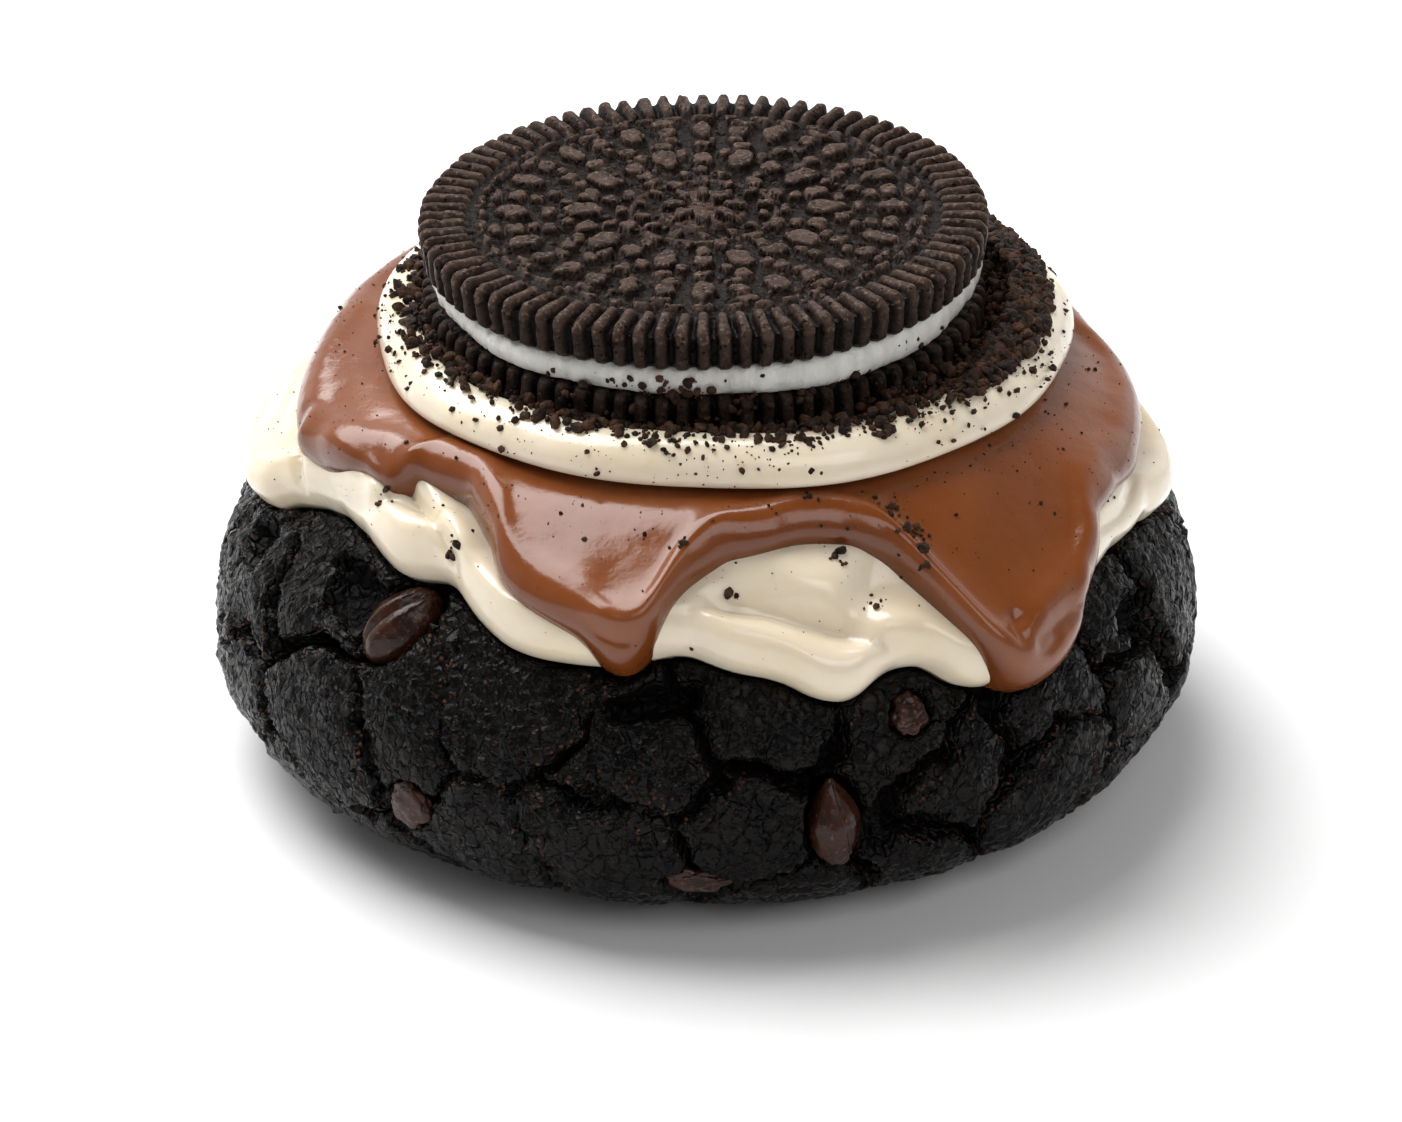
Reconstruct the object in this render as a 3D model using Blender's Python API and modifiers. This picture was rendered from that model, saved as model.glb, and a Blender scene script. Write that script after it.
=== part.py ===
"""A thick dark chocolate cookie under cream frosting and chocolate sauce, with a sandwich biscuit on top.

Metres, +Z up. The cookie rests on the plane z = 0, with the middle of its base at the origin.
Azimuths are in degrees round the upright axis: 0 is the front (-Y), and they grow towards +X.
A run is the distance from the middle of the dough's crown, down over its side.
A lift is the distance from the dough's plain surface, outwards.
"""

import math
import random

import bmesh
import bpy
import numpy as np
from mathutils import Matrix, Vector, noise

NAME = "cookies_and_cream_cookie"
GAP = 0.0003

# Dough: half of its outline is two superellipse quarters and a flat base
HALF_WIDTH = 0.0405
FOOT_RADIUS = 0.027
EQUATOR = 0.0105
CROWN = 0.0325
SQUARENESS = 2.4
OUTLINE_STEPS = 600

# Cracks between the plates of the crust
CRACK_HALF_WIDTH = 0.0015
CRACK_DEPTH = 0.0026
PLATE_EDGE = 0.0040
PLATE_SAG = 0.0007
CRACK_WARP = 0.0026
CRACK_WARP_SCALE = 150.0
WARP_SHIFTS = (0.0, 31.7, 73.3)
CRACK_VARY_SCALE = 70.0
LUMP_DEPTH = 0.0007
LUMP_SCALE = 190.0
BASE_CLEAR = 0.0018
BASE_FLAT = 0.0002
HIDDEN_RUN = 0.0050
HIDDEN_FADE = 0.0030
FINE_SEGMENTS = 208
FINE_RINGS = 120
DOUGH_KEEP = 0.078

# Middles of the crust's plates on the front: azimuth and height
FRONT_PLATES = (
    (-85, 0.0201), (-74, 0.0176), (-58, 0.0234), (-50, 0.0140), (-39, 0.0170), (-25, 0.0203),
    (-7, 0.0173), (8, 0.0200), (22, 0.0183), (46, 0.0171), (60, 0.0215), (75, 0.0180),
    (-72, 0.0094), (-57, 0.0042), (-45, 0.0031), (-29, 0.0084), (-12, 0.0101), (6, 0.0113),
    (14, 0.0047), (30, 0.0128), (44, 0.0096), (61, 0.0123), (60, 0.0056), (23, 0.0066),
)
# Rows of plates on the back: height, spacing in degrees, first azimuth
BACK_ROWS = ((0.0045, 23, 82), (0.0115, 27, 92), (0.0190, 24, 103), (0.0262, 31, 85))
BACK_END = 272
PLATE_SEED = 11
PLATE_JITTER = 0.0048

# Frosting: a cap over the dough, with tongues that run down (azimuth, half-width, reach)
CAP_CROWN_RUN = 0.0205
FROSTING_SEGMENTS = 72
FROSTING_RINGS = (1, 8)
FROSTING_INNER_RINGS = (3, 4)
FROSTING_RUN = 0.0365
FROSTING_TOP = 0.0332
FROSTING_SHOULDER_LIFT = 0.0043
FROSTING_EDGE_LIFT = 0.0031
FROSTING_SHOULDER_RUN = 0.026
FROSTING_FALL_RUN = 0.010
SHOULDER_ROUND = 0.0005
FROSTING_NOSE = 0.0027
FROSTING_TONGUES = (
    (-89, 14, 0.0021), (-59, 17, -0.0042), (-40, 15, -0.0030), (-12, 12, 0.0009),
    (8, 8, 0.0010), (16, 7.5, 0.0032), (32, 8, 0.0046), (45, 11, 0.0026),
    (66, 14, 0.0013), (84, 12, 0.0029), (110, 17, -0.0034), (137, 14, 0.0030),
    (166, 15, -0.0016), (188, 13, 0.0034), (216, 14, 0.0008), (247, 18, -0.0040),
)
# Folds along the frosting's hem: azimuth, half-width, distance above the hem, half-height, lift
FROSTING_FOLDS = (
    (12, 21, 0.0052, 0.0022, -0.0010), (10, 24, 0.0082, 0.0020, 0.0005),
    (-44, 24, 0.0046, 0.0016, -0.0009), (-38, 20, 0.0022, 0.0014, 0.0004),
    (-86, 16, 0.0040, 0.0016, -0.0007), (80, 18, 0.0044, 0.0018, -0.0008),
    (150, 26, 0.0046, 0.0018, -0.0008), (205, 24, 0.0044, 0.0018, -0.0008),
)

# Sauce: a thinner cap over the frosting
SAUCE_SEGMENTS = 84
SAUCE_RINGS = (1, 7)
SAUCE_INNER_RINGS = (1, 5)
SAUCE_RUN = 0.0315
SAUCE_THICKNESS = 0.0012
SAUCE_EDGE_THICKNESS = 0.0016
SAUCE_EDGE_RUN = 0.008
SAUCE_NOSE = 0.0019
SAUCE_TONGUES = (
    (-102, 16, -0.0017), (-77, 12, 0.0008), (-46, 15, -0.0032), (-17, 16, 0.0042),
    (-9, 6.5, 0.0032), (12, 14, -0.0024), (39, 17, 0.0113), (53, 9, 0.0026),
    (71, 25, 0.0034), (110, 14, -0.0012), (137, 9, 0.0052), (163, 12, -0.0014),
    (187, 12, 0.0064), (214, 13, 0.0012), (242, 16, -0.0014),
)
DRAPE_GAP = 0.0005
DRAPE_RUN = 0.0018
DRAPE_TURNS = (-5.0, -2.5, 0.0, 2.5, 5.0)

# Cream bed under the biscuit: its recess fits the biscuit, and its rim stands off to one side
BED_CENTRE_X = 0.0014
BED_BOTTOM = 0.0350
BED_HALF_WIDTH = 0.0280
BED_CREST_RADIUS = 0.0252
BED_CREST = 0.0386
BED_RECESS_RADIUS = 0.0231
BED_RECESS = 0.0363
BED_FOOT_RADIUS = 0.0262
BED_STEPS = 42
BED_ARC_POINTS = 4

# Crumbs pressed into the bed's crest: azimuth from, to, how many
CRUMB_STRETCHES = ((52, 118, 8), (-112, -72, 3), (2, 26, 3), (150, 250, 3))
CRUMB_RADIUS = 0.0010
CRUMB_SEED = 5

# Sandwich biscuit
WAFER_CENTRE_X = -0.0001
RIBS = 84
WAFER_RADIUS = 0.0228
WAFER_THICKNESS = 0.0035
RIB_DEPTH = 0.0006
RIM_BEVEL = 0.0010
WAFER_DRAFT = 0.0003
RIB_INNER_RADIUS = 0.0189
FIELD_DROP = 0.0005
LOWER_WAFER_Z = 0.0367
FILLING_THICKNESS = 0.0021
FILLING_RADIUS = 0.0214
FILLING_BULGE = 0.0005
FILLING_SEGMENTS = 44
FILLING_WAVES = ((5, 0.00025, 0.4), (11, 0.00012, 1.9))
UPPER_TILT = math.radians(1.0)

# Raised lozenges on the upper wafer: radius of the ring, how many, length, width
LOZENGE_RINGS = ((0.0152, 16, 0.0026, 0.0015), (0.0098, 10, 0.0030, 0.0018))
LOZENGE_HEIGHT = 0.0006
BOSS_RADIUS = 0.0036
BOSS_SIDES = 12

# Chocolate chips: azimuth, height, half-width, half-length, half-thickness, lean, tip, sunk
CHIPS = {
    "chip_left": (-44, 0.0232, 0.0024, 0.0034, 0.0023, 40, 0.15, 0.0021),
    "chip_drop": (15, 0.0114, 0.0022, 0.0038, 0.0021, -5, 0.75, 0.0020),
    "chip_flat": (-36, 0.0097, 0.0018, 0.0020, 0.0012, 20, 0.10, 0.0012),
    "chip_base": (-1, 0.0060, 0.0024, 0.0014, 0.0012, 0, 0.10, 0.0013),
    "chip_notch": (25, 0.0196, 0.0015, 0.0017, 0.0013, 30, 0.30, 0.0013),
    "chip_right": (104, 0.0135, 0.0022, 0.0034, 0.0021, -25, 0.60, 0.0020),
    "chip_back": (163, 0.0170, 0.0023, 0.0030, 0.0021, 55, 0.20, 0.0021),
    "chip_back_low": (205, 0.0085, 0.0022, 0.0034, 0.0020, 12, 0.70, 0.0019),
    "chip_far_left": (-110, 0.0150, 0.0021, 0.0027, 0.0019, -70, 0.20, 0.0019),
}
CHIP_SEGMENTS = 8
CHIP_RINGS = 6
CHIP_TAPER = 0.55
POCKET_MARGIN = 1.42
POCKET_CLEAR = 0.0006

# Base colour, roughness
DOUGH_LOOK = ((0.012, 0.009, 0.008, 1), 0.42)
CHIP_LOOK = ((0.060, 0.022, 0.012, 1), 0.25)
FROSTING_LOOK = ((0.86, 0.80, 0.69, 1), 0.30)
SAUCE_LOOK = ((0.200, 0.070, 0.026, 1), 0.18)
BED_LOOK = ((0.82, 0.76, 0.65, 1), 0.38)
WAFER_LOOK = ((0.024, 0.016, 0.012, 1), 0.70)
FILLING_LOOK = ((0.86, 0.86, 0.83, 1), 0.50)


def clear_scene():
    for obj in list(bpy.data.objects):
        bpy.data.objects.remove(obj, do_unlink=True)


def new_collection(name, hidden=False):
    collection = bpy.data.collections.new(name)
    bpy.context.scene.collection.children.link(collection)
    collection.hide_render = hidden
    return collection


def new_material(name, look):
    colour, roughness = look
    material = bpy.data.materials.new(name)
    material.use_nodes = True
    shader = material.node_tree.nodes["Principled BSDF"]
    shader.inputs["Base Color"].default_value = colour
    shader.inputs["Roughness"].default_value = roughness
    shader.inputs["Metallic"].default_value = 0.0
    material.diffuse_color = colour
    return material


def new_object(name, mesh, collection, material):
    obj = bpy.data.objects.new(name, mesh)
    collection.objects.link(obj)
    mesh.materials.append(material)
    mesh.shade_smooth()
    mesh.set_sharp_from_angle(angle=math.radians(35))
    return obj


def mesh_of(bm, name):
    mesh = bpy.data.meshes.new(name)
    bm.to_mesh(mesh)
    bm.free()
    return mesh


def smooth(t):
    t = np.clip(t, 0.0, 1.0)
    return t * t * (3.0 - 2.0 * t)


def smooth_minimum(a, b, width):
    return -width * np.log(np.exp(-a / width) + np.exp(-b / width))


def turned_by(azimuth, centre):
    """Degrees from centre to azimuth, the short way round."""
    return (azimuth - centre + 180.0) % 360.0 - 180.0


def tongue(azimuth, centre, half_width):
    """1 over the middle of a tongue, falling smoothly to 0 at its half-width."""
    return smooth(1.6 * (1.0 - np.abs(turned_by(azimuth, centre)) / half_width))


def dough_outline():
    """Radius and height of points from the crown over the side to the middle of the base."""
    turn = np.linspace(0.0, math.pi / 2, OUTLINE_STEPS)
    upper_r = HALF_WIDTH * np.sin(turn) ** (2 / SQUARENESS)
    upper_z = EQUATOR + (CROWN - EQUATOR) * np.abs(np.cos(turn)) ** (2 / SQUARENESS)
    lower_r = FOOT_RADIUS + (HALF_WIDTH - FOOT_RADIUS) * np.cos(turn[1:])
    lower_z = EQUATOR - EQUATOR * np.sin(turn[1:])
    radius = np.concatenate([upper_r, lower_r, [0.0]])
    height = np.concatenate([upper_z, lower_z, [0.0]])
    return radius, height


OUTLINE_R, OUTLINE_Z = dough_outline()
OUTLINE_RUN = np.concatenate([[0.0], np.cumsum(np.hypot(np.diff(OUTLINE_R), np.diff(OUTLINE_Z)))])
NORMAL_STEP = 0.0004


def outline_at(run):
    return np.interp(run, OUTLINE_RUN, OUTLINE_R), np.interp(run, OUTLINE_RUN, OUTLINE_Z)


def outline_normal(run):
    r0, z0 = outline_at(np.maximum(run - NORMAL_STEP, 0.0))
    r1, z1 = outline_at(run + NORMAL_STEP)
    length = np.hypot(r1 - r0, z1 - z0)
    return (z0 - z1) / length, (r1 - r0) / length


def run_at_height(height):
    """The run down the upper side or the foot where the outline is at this height."""
    side = len(OUTLINE_Z) - 1
    return float(np.interp(-height, -OUTLINE_Z[:side], OUTLINE_RUN[:side]))


def on_dough(azimuth, run, lift=0.0):
    """World points at these azimuths, runs and lifts."""
    radius, height = outline_at(run)
    normal_r, normal_z = outline_normal(run)
    radius = radius + lift * normal_r
    turn = np.radians(azimuth)
    return np.stack([radius * np.sin(turn), -radius * np.cos(turn), height + lift * normal_z], axis=-1)


def reach(azimuth, base, tongues):
    run = np.full(np.shape(azimuth), base)
    for centre, half_width, more in tongues:
        run = run + more * tongue(azimuth, centre, half_width)
    return run


def nose(run, hem, length):
    """1 up to the rounded edge, then a quarter ellipse down to 0 at the hem."""
    into = np.clip((run - (hem - length)) / length, 0.0, 1.0)
    return np.sqrt(1.0 - into**2)


def frosting_hem(azimuth):
    return reach(azimuth, FROSTING_RUN, FROSTING_TONGUES)


def frosting_lift(azimuth, run):
    """The frosting's outer surface, as a lift. It is 0 beyond the hem."""
    hem = frosting_hem(azimuth)
    _, height = outline_at(run)
    _, normal_z = outline_normal(run)
    to_top = (FROSTING_TOP - height) / np.maximum(normal_z, 0.2)
    fall = (FROSTING_SHOULDER_LIFT - FROSTING_EDGE_LIFT) * smooth(
        (run - FROSTING_SHOULDER_RUN) / FROSTING_FALL_RUN
    )
    lift = smooth_minimum(to_top, FROSTING_SHOULDER_LIFT - fall, SHOULDER_ROUND)
    for centre, half_width, above, half_height, height in FROSTING_FOLDS:
        across = (hem - above - run) / half_height
        lift = lift + height * tongue(azimuth, centre, half_width) * np.exp(-across**2)
    return lift * nose(run, hem, FROSTING_NOSE)


def frosting_floor(azimuth, run):
    """The lift of the frosting's inner surface: it lies on the plain dough."""
    return np.full(len(run), GAP)


def sauce_hem(azimuth):
    return reach(azimuth, SAUCE_RUN, SAUCE_TONGUES)


def sauce_floor(azimuth, run):
    """The lift of the sauce's inner surface, which drapes over the frosting and clears it."""
    highest = np.zeros(np.shape(run))
    for turn in DRAPE_TURNS:
        for back in (0.0, DRAPE_RUN):
            highest = np.maximum(highest, frosting_lift(azimuth + turn, np.maximum(run - back, 0.0)))
    return highest + DRAPE_GAP


def sauce_lift(azimuth, run):
    hem = sauce_hem(azimuth)
    thick = SAUCE_THICKNESS + (SAUCE_EDGE_THICKNESS - SAUCE_THICKNESS) * smooth(1 - (hem - run) / SAUCE_EDGE_RUN)
    return sauce_floor(azimuth, run) + thick * nose(run, hem, SAUCE_NOSE)


def sphere_points(bm):
    """Azimuth and share of the way from the top pole to the bottom pole, of each vertex."""
    points = np.array([v.co for v in bm.verts])
    azimuth = np.degrees(np.arctan2(points[:, 0], -points[:, 1]))
    down = np.arccos(np.clip(points[:, 2], -1.0, 1.0)) / math.pi
    return azimuth, down


def move_points(bm, points):
    for vertex, point in zip(bm.verts, points):
        vertex.co = point


def ring_runs(row, rings, hem):
    """The run of each ring: evenly over the crown, then closer and closer to the hem."""
    crown_rings, side_rings = rings
    share = np.sin(np.clip((row - crown_rings) / side_rings, 0.0, 1.0) * math.pi / 2)
    over_crown = CAP_CROWN_RUN * row / crown_rings
    return np.where(row <= crown_rings, over_crown, CAP_CROWN_RUN + (hem - CAP_CROWN_RUN) * share)


def make_cap(name, segments, outer_rings, inner_rings, hem_of, outer_of, inner_of, material, collection):
    """A closed cap: a sphere whose upper rings are its outside and whose last rings are its inside."""
    rings = sum(outer_rings) + sum(inner_rings)
    bm = bmesh.new()
    bmesh.ops.create_uvsphere(bm, u_segments=segments, v_segments=rings, radius=1.0)
    azimuth, down = sphere_points(bm)
    row = np.round(down * rings)
    hem = hem_of(azimuth)
    outside = row <= sum(outer_rings)
    outer_run = ring_runs(row, outer_rings, hem)
    inner_run = ring_runs(rings - row, inner_rings, hem)
    run = np.where(outside, outer_run, inner_run)
    lift = np.where(outside, outer_of(azimuth, run), inner_of(azimuth, run))
    move_points(bm, on_dough(azimuth, run, lift))
    return new_object(name, mesh_of(bm, name), collection, material)


def plate_middles():
    """Points at the middle of each plate of the crust, on the plain dough."""
    draw = random.Random(PLATE_SEED)
    places = [(azimuth, run_at_height(height)) for azimuth, height in FRONT_PLATES]
    for height, spacing, first in BACK_ROWS:
        for azimuth in range(first, BACK_END, spacing):
            turn = math.degrees(draw.uniform(-PLATE_JITTER, PLATE_JITTER) / HALF_WIDTH)
            run = run_at_height(height) + draw.uniform(-PLATE_JITTER, PLATE_JITTER)
            places.append((azimuth + turn, run))
    return np.array([on_dough(azimuth, run) for azimuth, run in places])


def noise_at(points, scale, shift=0.0):
    """Smooth noise between about -1 and 1 at each point."""
    return np.array([noise.noise(Vector(p) * scale + Vector((shift, shift, shift))) for p in points])


def warped(points):
    """The points moved by a slow noise, so that cracks wander."""
    moves = [noise_at(points, CRACK_WARP_SCALE, shift) for shift in WARP_SHIFTS]
    return points + CRACK_WARP * np.stack(moves, axis=-1)


def crack_distance(points):
    """Distance of each point from the nearest line between two plates."""
    middles = plate_middles()
    apart = np.linalg.norm(warped(points)[:, None, :] - middles[None, :, :], axis=2)
    order = np.argsort(apart, axis=1)[:, :3]
    rows = np.arange(len(points))
    nearest = apart[rows, order[:, 0]]
    best = np.full(len(points), 1.0)
    for other in (1, 2):
        between = np.linalg.norm(middles[order[:, 0]] - middles[order[:, other]], axis=1)
        best = np.minimum(best, (apart[rows, order[:, other]] ** 2 - nearest**2) / (2 * between))
    return best


def pocket_depth(azimuth, run):
    """How deep the hollows round the chips are at each point."""
    depth = np.zeros(len(run))
    for at, height, half_width, half_length, half_thick, lean, _, sunk in CHIPS.values():
        middle = run_at_height(height)
        radius, _ = outline_at(middle)
        across = np.radians(turned_by(azimuth, at)) * radius
        up = middle - run
        tilt = math.radians(lean)
        side = across * math.cos(tilt) - up * math.sin(tilt)
        along = across * math.sin(tilt) + up * math.cos(tilt)
        out = np.hypot(side / (half_width * POCKET_MARGIN), along / (half_length * POCKET_MARGIN))
        bowl = (half_thick + sunk + POCKET_CLEAR) * np.clip(1.0 - out**3, 0.0, 1.0) ** 0.6
        depth = np.maximum(depth, bowl)
    return depth


def crust_depth(azimuth, run):
    """How far the crust lies inside the plain dough: cracks, sagging plate edges, lumps and pockets."""
    points = on_dough(azimuth, run)
    distance = crack_distance(points)
    vary = noise_at(points, CRACK_VARY_SCALE)
    lumps = noise_at(points, LUMP_SCALE)
    crack = CRACK_DEPTH * (0.75 + 0.7 * vary) * (1.0 - smooth(distance / CRACK_HALF_WIDTH))
    sag = PLATE_SAG * (1.0 - smooth(distance / PLATE_EDGE))
    relief = crack + sag + LUMP_DEPTH * (0.5 + 0.5 * lumps)
    above_base = smooth(points[:, 2] / BASE_CLEAR)
    bare = smooth((run - frosting_hem(azimuth) + HIDDEN_RUN) / HIDDEN_FADE)
    return np.maximum(relief * above_base * bare, pocket_depth(azimuth, run))


def ordered_mesh(bm, name):
    """A mesh whose edges and faces come in one fixed order, so that it always simplifies alike."""
    bm.verts.index_update()
    faces = []
    for face in bm.faces:
        corners = [vert.index for vert in face.verts]
        first = corners.index(min(corners))
        faces.append(corners[first:] + corners[:first])
    edges = [sorted(vert.index for vert in edge.verts) for edge in bm.edges]
    mesh = bpy.data.meshes.new(name)
    mesh.from_pydata([vert.co.copy() for vert in bm.verts], sorted(edges), sorted(faces))
    bm.free()
    return mesh


def applied(obj):
    """The object's mesh with its modifiers applied."""
    bpy.context.view_layer.update()
    evaluated = obj.evaluated_get(bpy.context.evaluated_depsgraph_get())
    mesh = bpy.data.meshes.new_from_object(evaluated)
    obj.modifiers.clear()
    obj.data = mesh
    return obj


def make_dough(material, collection):
    """The baked dough: a fine sphere moved onto the outline, carved, simplified, and set flat on its base."""
    bm = bmesh.new()
    bmesh.ops.create_uvsphere(bm, u_segments=FINE_SEGMENTS, v_segments=FINE_RINGS, radius=1.0)
    azimuth, down = sphere_points(bm)
    run = down * OUTLINE_RUN[-1]
    points = on_dough(azimuth, run, -crust_depth(azimuth, run))
    points[:, 2] = np.where(run > OUTLINE_RUN[-2], 0.0, points[:, 2])
    move_points(bm, points)
    dough = new_object("cookie_dough", ordered_mesh(bm, "cookie_dough"), collection, material)
    simplify = dough.modifiers.new("Simplify", "DECIMATE")
    simplify.ratio = DOUGH_KEEP
    simplify.use_collapse_triangulate = True
    applied(dough)
    for vertex in dough.data.vertices:
        if vertex.co.z < BASE_FLAT:
            vertex.co.z = 0.0
    return dough


def chip_frame(azimuth, height, lean, sunk):
    """Matrix that stands a chip on the dough's side: its Z up the slope, its Y outwards."""
    run = run_at_height(height)
    middle = Vector(on_dough(azimuth, run, -sunk))
    outwards = (Vector(on_dough(azimuth, run, 0.001)) - Vector(on_dough(azimuth, run))).normalized()
    upwards = (Vector(on_dough(azimuth, run - 0.0004)) - Vector(on_dough(azimuth, run))).normalized()
    across = outwards.cross(upwards).normalized()
    upwards = across.cross(outwards)
    frame = Matrix((across, outwards, upwards)).transposed().to_4x4()
    lean_turn = Matrix.Rotation(-math.radians(lean), 4, "Y")
    return Matrix.Translation(middle) @ frame @ lean_turn


def make_chip(name, material, collection):
    azimuth, height, half_width, half_length, half_thick, lean, tip, sunk = CHIPS[name]
    bm = bmesh.new()
    bmesh.ops.create_uvsphere(bm, u_segments=CHIP_SEGMENTS, v_segments=CHIP_RINGS, radius=1.0)
    for vertex in bm.verts:
        narrow = 1.0 - CHIP_TAPER * tip * max(vertex.co.z, 0.0)
        vertex.co.x *= half_width * narrow
        vertex.co.y *= half_thick * narrow
        vertex.co.z *= half_length
    chip = new_object(name, mesh_of(bm, name), collection, material)
    frame = chip_frame(azimuth, height, lean, sunk)
    chip.location = frame.to_translation()
    chip.rotation_euler = frame.to_euler()
    return chip


def bed_profile():
    """Radius and height down the outer side of the cream bed, from its middle to its bottom."""
    points = [(0.0, BED_RECESS), (BED_RECESS_RADIUS, BED_RECESS)]
    inner = BED_CREST_RADIUS - BED_RECESS_RADIUS
    for step in range(1, BED_ARC_POINTS):
        turn = math.pi / 2 * step / BED_ARC_POINTS
        points.append((BED_CREST_RADIUS - inner * math.cos(turn),
                       BED_RECESS + (BED_CREST - BED_RECESS) * math.sin(turn)))
    outer = BED_HALF_WIDTH - BED_CREST_RADIUS
    widest = 0.45 * BED_BOTTOM + 0.55 * BED_RECESS
    for step in range(BED_ARC_POINTS + 1):
        turn = math.pi / 2 * step / BED_ARC_POINTS
        points.append((BED_CREST_RADIUS + outer * math.sin(turn),
                       widest + (BED_CREST - widest) * math.cos(turn)))
    points.append((BED_FOOT_RADIUS, BED_BOTTOM))
    points.append((0.0, BED_BOTTOM))
    return points


def make_crumbs(collection):
    """Lumps that straddle the bed's crest, to be joined with it."""
    draw = random.Random(CRUMB_SEED)
    crumbs = []
    for first, last, count in CRUMB_STRETCHES:
        for _ in range(count):
            turn = math.radians(draw.uniform(first, last))
            out = BED_CREST_RADIUS + draw.uniform(-0.0006, 0.0012)
            size = CRUMB_RADIUS * draw.uniform(0.75, 1.35)
            bm = bmesh.new()
            bmesh.ops.create_icosphere(bm, subdivisions=1, radius=size)
            for vertex in bm.verts:
                vertex.co *= draw.uniform(0.8, 1.15)
            place = Vector((BED_CENTRE_X + out * math.sin(turn), -out * math.cos(turn), BED_CREST - 0.0001))
            spin = Matrix.Rotation(draw.uniform(0, math.pi), 4, Vector((draw.random(), 1, draw.random())))
            bm.transform(Matrix.Translation(place) @ spin)
            name = f"bed_crumb_{len(crumbs)}"
            crumb = bpy.data.objects.new(name, mesh_of(bm, name))
            crumb.display_type = "WIRE"
            collection.objects.link(crumb)
            crumbs.append(crumb)
    return crumbs


def join_helpers(obj, helpers, collection):
    """Fuses the helpers' shapes to the object, applies the union and removes them."""
    union = obj.modifiers.new("Join", "BOOLEAN")
    union.operation = "UNION"
    union.operand_type = "COLLECTION"
    union.collection = collection
    applied(obj)
    for helper in helpers:
        bpy.data.objects.remove(helper, do_unlink=True)


def make_bed(material, collection):
    bm = bmesh.new()
    verts = [bm.verts.new((radius, 0.0, height)) for radius, height in bed_profile()]
    for upper, lower in zip(verts, verts[1:]):
        bm.edges.new((upper, lower))
    bed = new_object("cream_bed", mesh_of(bm, "cream_bed"), collection, material)
    turned = bed.modifiers.new("Turn", "SCREW")
    turned.steps = BED_STEPS
    turned.render_steps = BED_STEPS
    turned.use_merge_vertices = True
    turned.merge_threshold = 0.0001
    applied(bed)
    for vertex in bed.data.vertices:
        out = math.hypot(vertex.co.x, vertex.co.y)
        share = smooth((out - BED_RECESS_RADIUS) / (BED_CREST_RADIUS - BED_RECESS_RADIUS))
        vertex.co.x += WAFER_CENTRE_X + (BED_CENTRE_X - WAFER_CENTRE_X) * share
    crumbs = new_collection("crumbs_to_join", hidden=True)
    join_helpers(bed, make_crumbs(crumbs), crumbs)
    return bed


def ring_of(face):
    return [loop.vert for loop in face.loops]


def set_ring(verts, radius, height, rib_in=0.0, rib_down=0.0):
    """Puts a face's corners on a circle, with every second one lower and further in."""
    for vertex in verts:
        turn = math.atan2(vertex.co.y, vertex.co.x)
        rib = round(turn / (math.pi / RIBS)) % 2
        out = radius - rib * rib_in
        vertex.co = (out * math.cos(turn), out * math.sin(turn), height - rib * rib_down)


def ribbed_disc():
    """A disc of the wafer's size with its outward face up, its ribs round the rim and down the edge."""
    bm = bmesh.new()
    bmesh.ops.create_cone(
        bm, cap_ends=True, segments=2 * RIBS,
        radius1=WAFER_RADIUS, radius2=WAFER_RADIUS, depth=WAFER_THICKNESS,
    )
    caps = [face for face in bm.faces if len(face.verts) == 2 * RIBS]
    bottom, top = sorted(caps, key=lambda face: face.calc_center_median().z)
    set_ring(ring_of(bottom), WAFER_RADIUS - WAFER_DRAFT, 0.0, RIB_DEPTH)
    set_ring(ring_of(top), WAFER_RADIUS, WAFER_THICKNESS - RIM_BEVEL, RIB_DEPTH, 0.0)
    bmesh.ops.inset_region(bm, faces=[top], thickness=RIM_BEVEL)
    set_ring(ring_of(top), WAFER_RADIUS - RIM_BEVEL, WAFER_THICKNESS, 0.0, RIB_DEPTH)
    bmesh.ops.inset_region(bm, faces=[top], thickness=RIM_BEVEL)
    set_ring(ring_of(top), RIB_INNER_RADIUS, WAFER_THICKNESS - FIELD_DROP / 2, 0.0, FIELD_DROP / 2)
    return bm


def add_lozenge(bm, place, turn, length, width, sides=4):
    """A low pyramid with a flat top, which reaches down into the disc."""
    result = bmesh.ops.create_cone(
        bm, cap_ends=True, segments=sides, radius1=0.5, radius2=0.3, depth=2 * LOZENGE_HEIGHT
    )
    bmesh.ops.scale(bm, verts=result["verts"], vec=(length, width, 1.0))
    bmesh.ops.rotate(bm, verts=result["verts"], cent=(0, 0, 0), matrix=Matrix.Rotation(turn, 3, "Z"))
    bmesh.ops.translate(bm, verts=result["verts"], vec=place)


def make_pattern(collection):
    """The raised pattern of the upper wafer: two rings of lozenges round a boss."""
    bm = bmesh.new()
    level = WAFER_THICKNESS - FIELD_DROP
    for radius, count, length, width in LOZENGE_RINGS:
        for step in range(count):
            turn = 2 * math.pi * step / count
            place = (radius * math.cos(turn), radius * math.sin(turn), level)
            add_lozenge(bm, place, turn, length, width)
    add_lozenge(bm, (0, 0, level), 0.0, 2 * BOSS_RADIUS, 2 * BOSS_RADIUS, BOSS_SIDES)
    pattern = bpy.data.objects.new("wafer_pattern", mesh_of(bm, "wafer_pattern"))
    pattern.display_type = "WIRE"
    collection.objects.link(pattern)
    return pattern


def make_lower_wafer(material, collection):
    wafer = new_object("lower_wafer", mesh_of(ribbed_disc(), "lower_wafer"), collection, material)
    wafer.location = (WAFER_CENTRE_X, 0.0, LOWER_WAFER_Z + WAFER_THICKNESS)
    wafer.rotation_euler = (math.pi, 0.0, 0.0)
    return wafer


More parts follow.
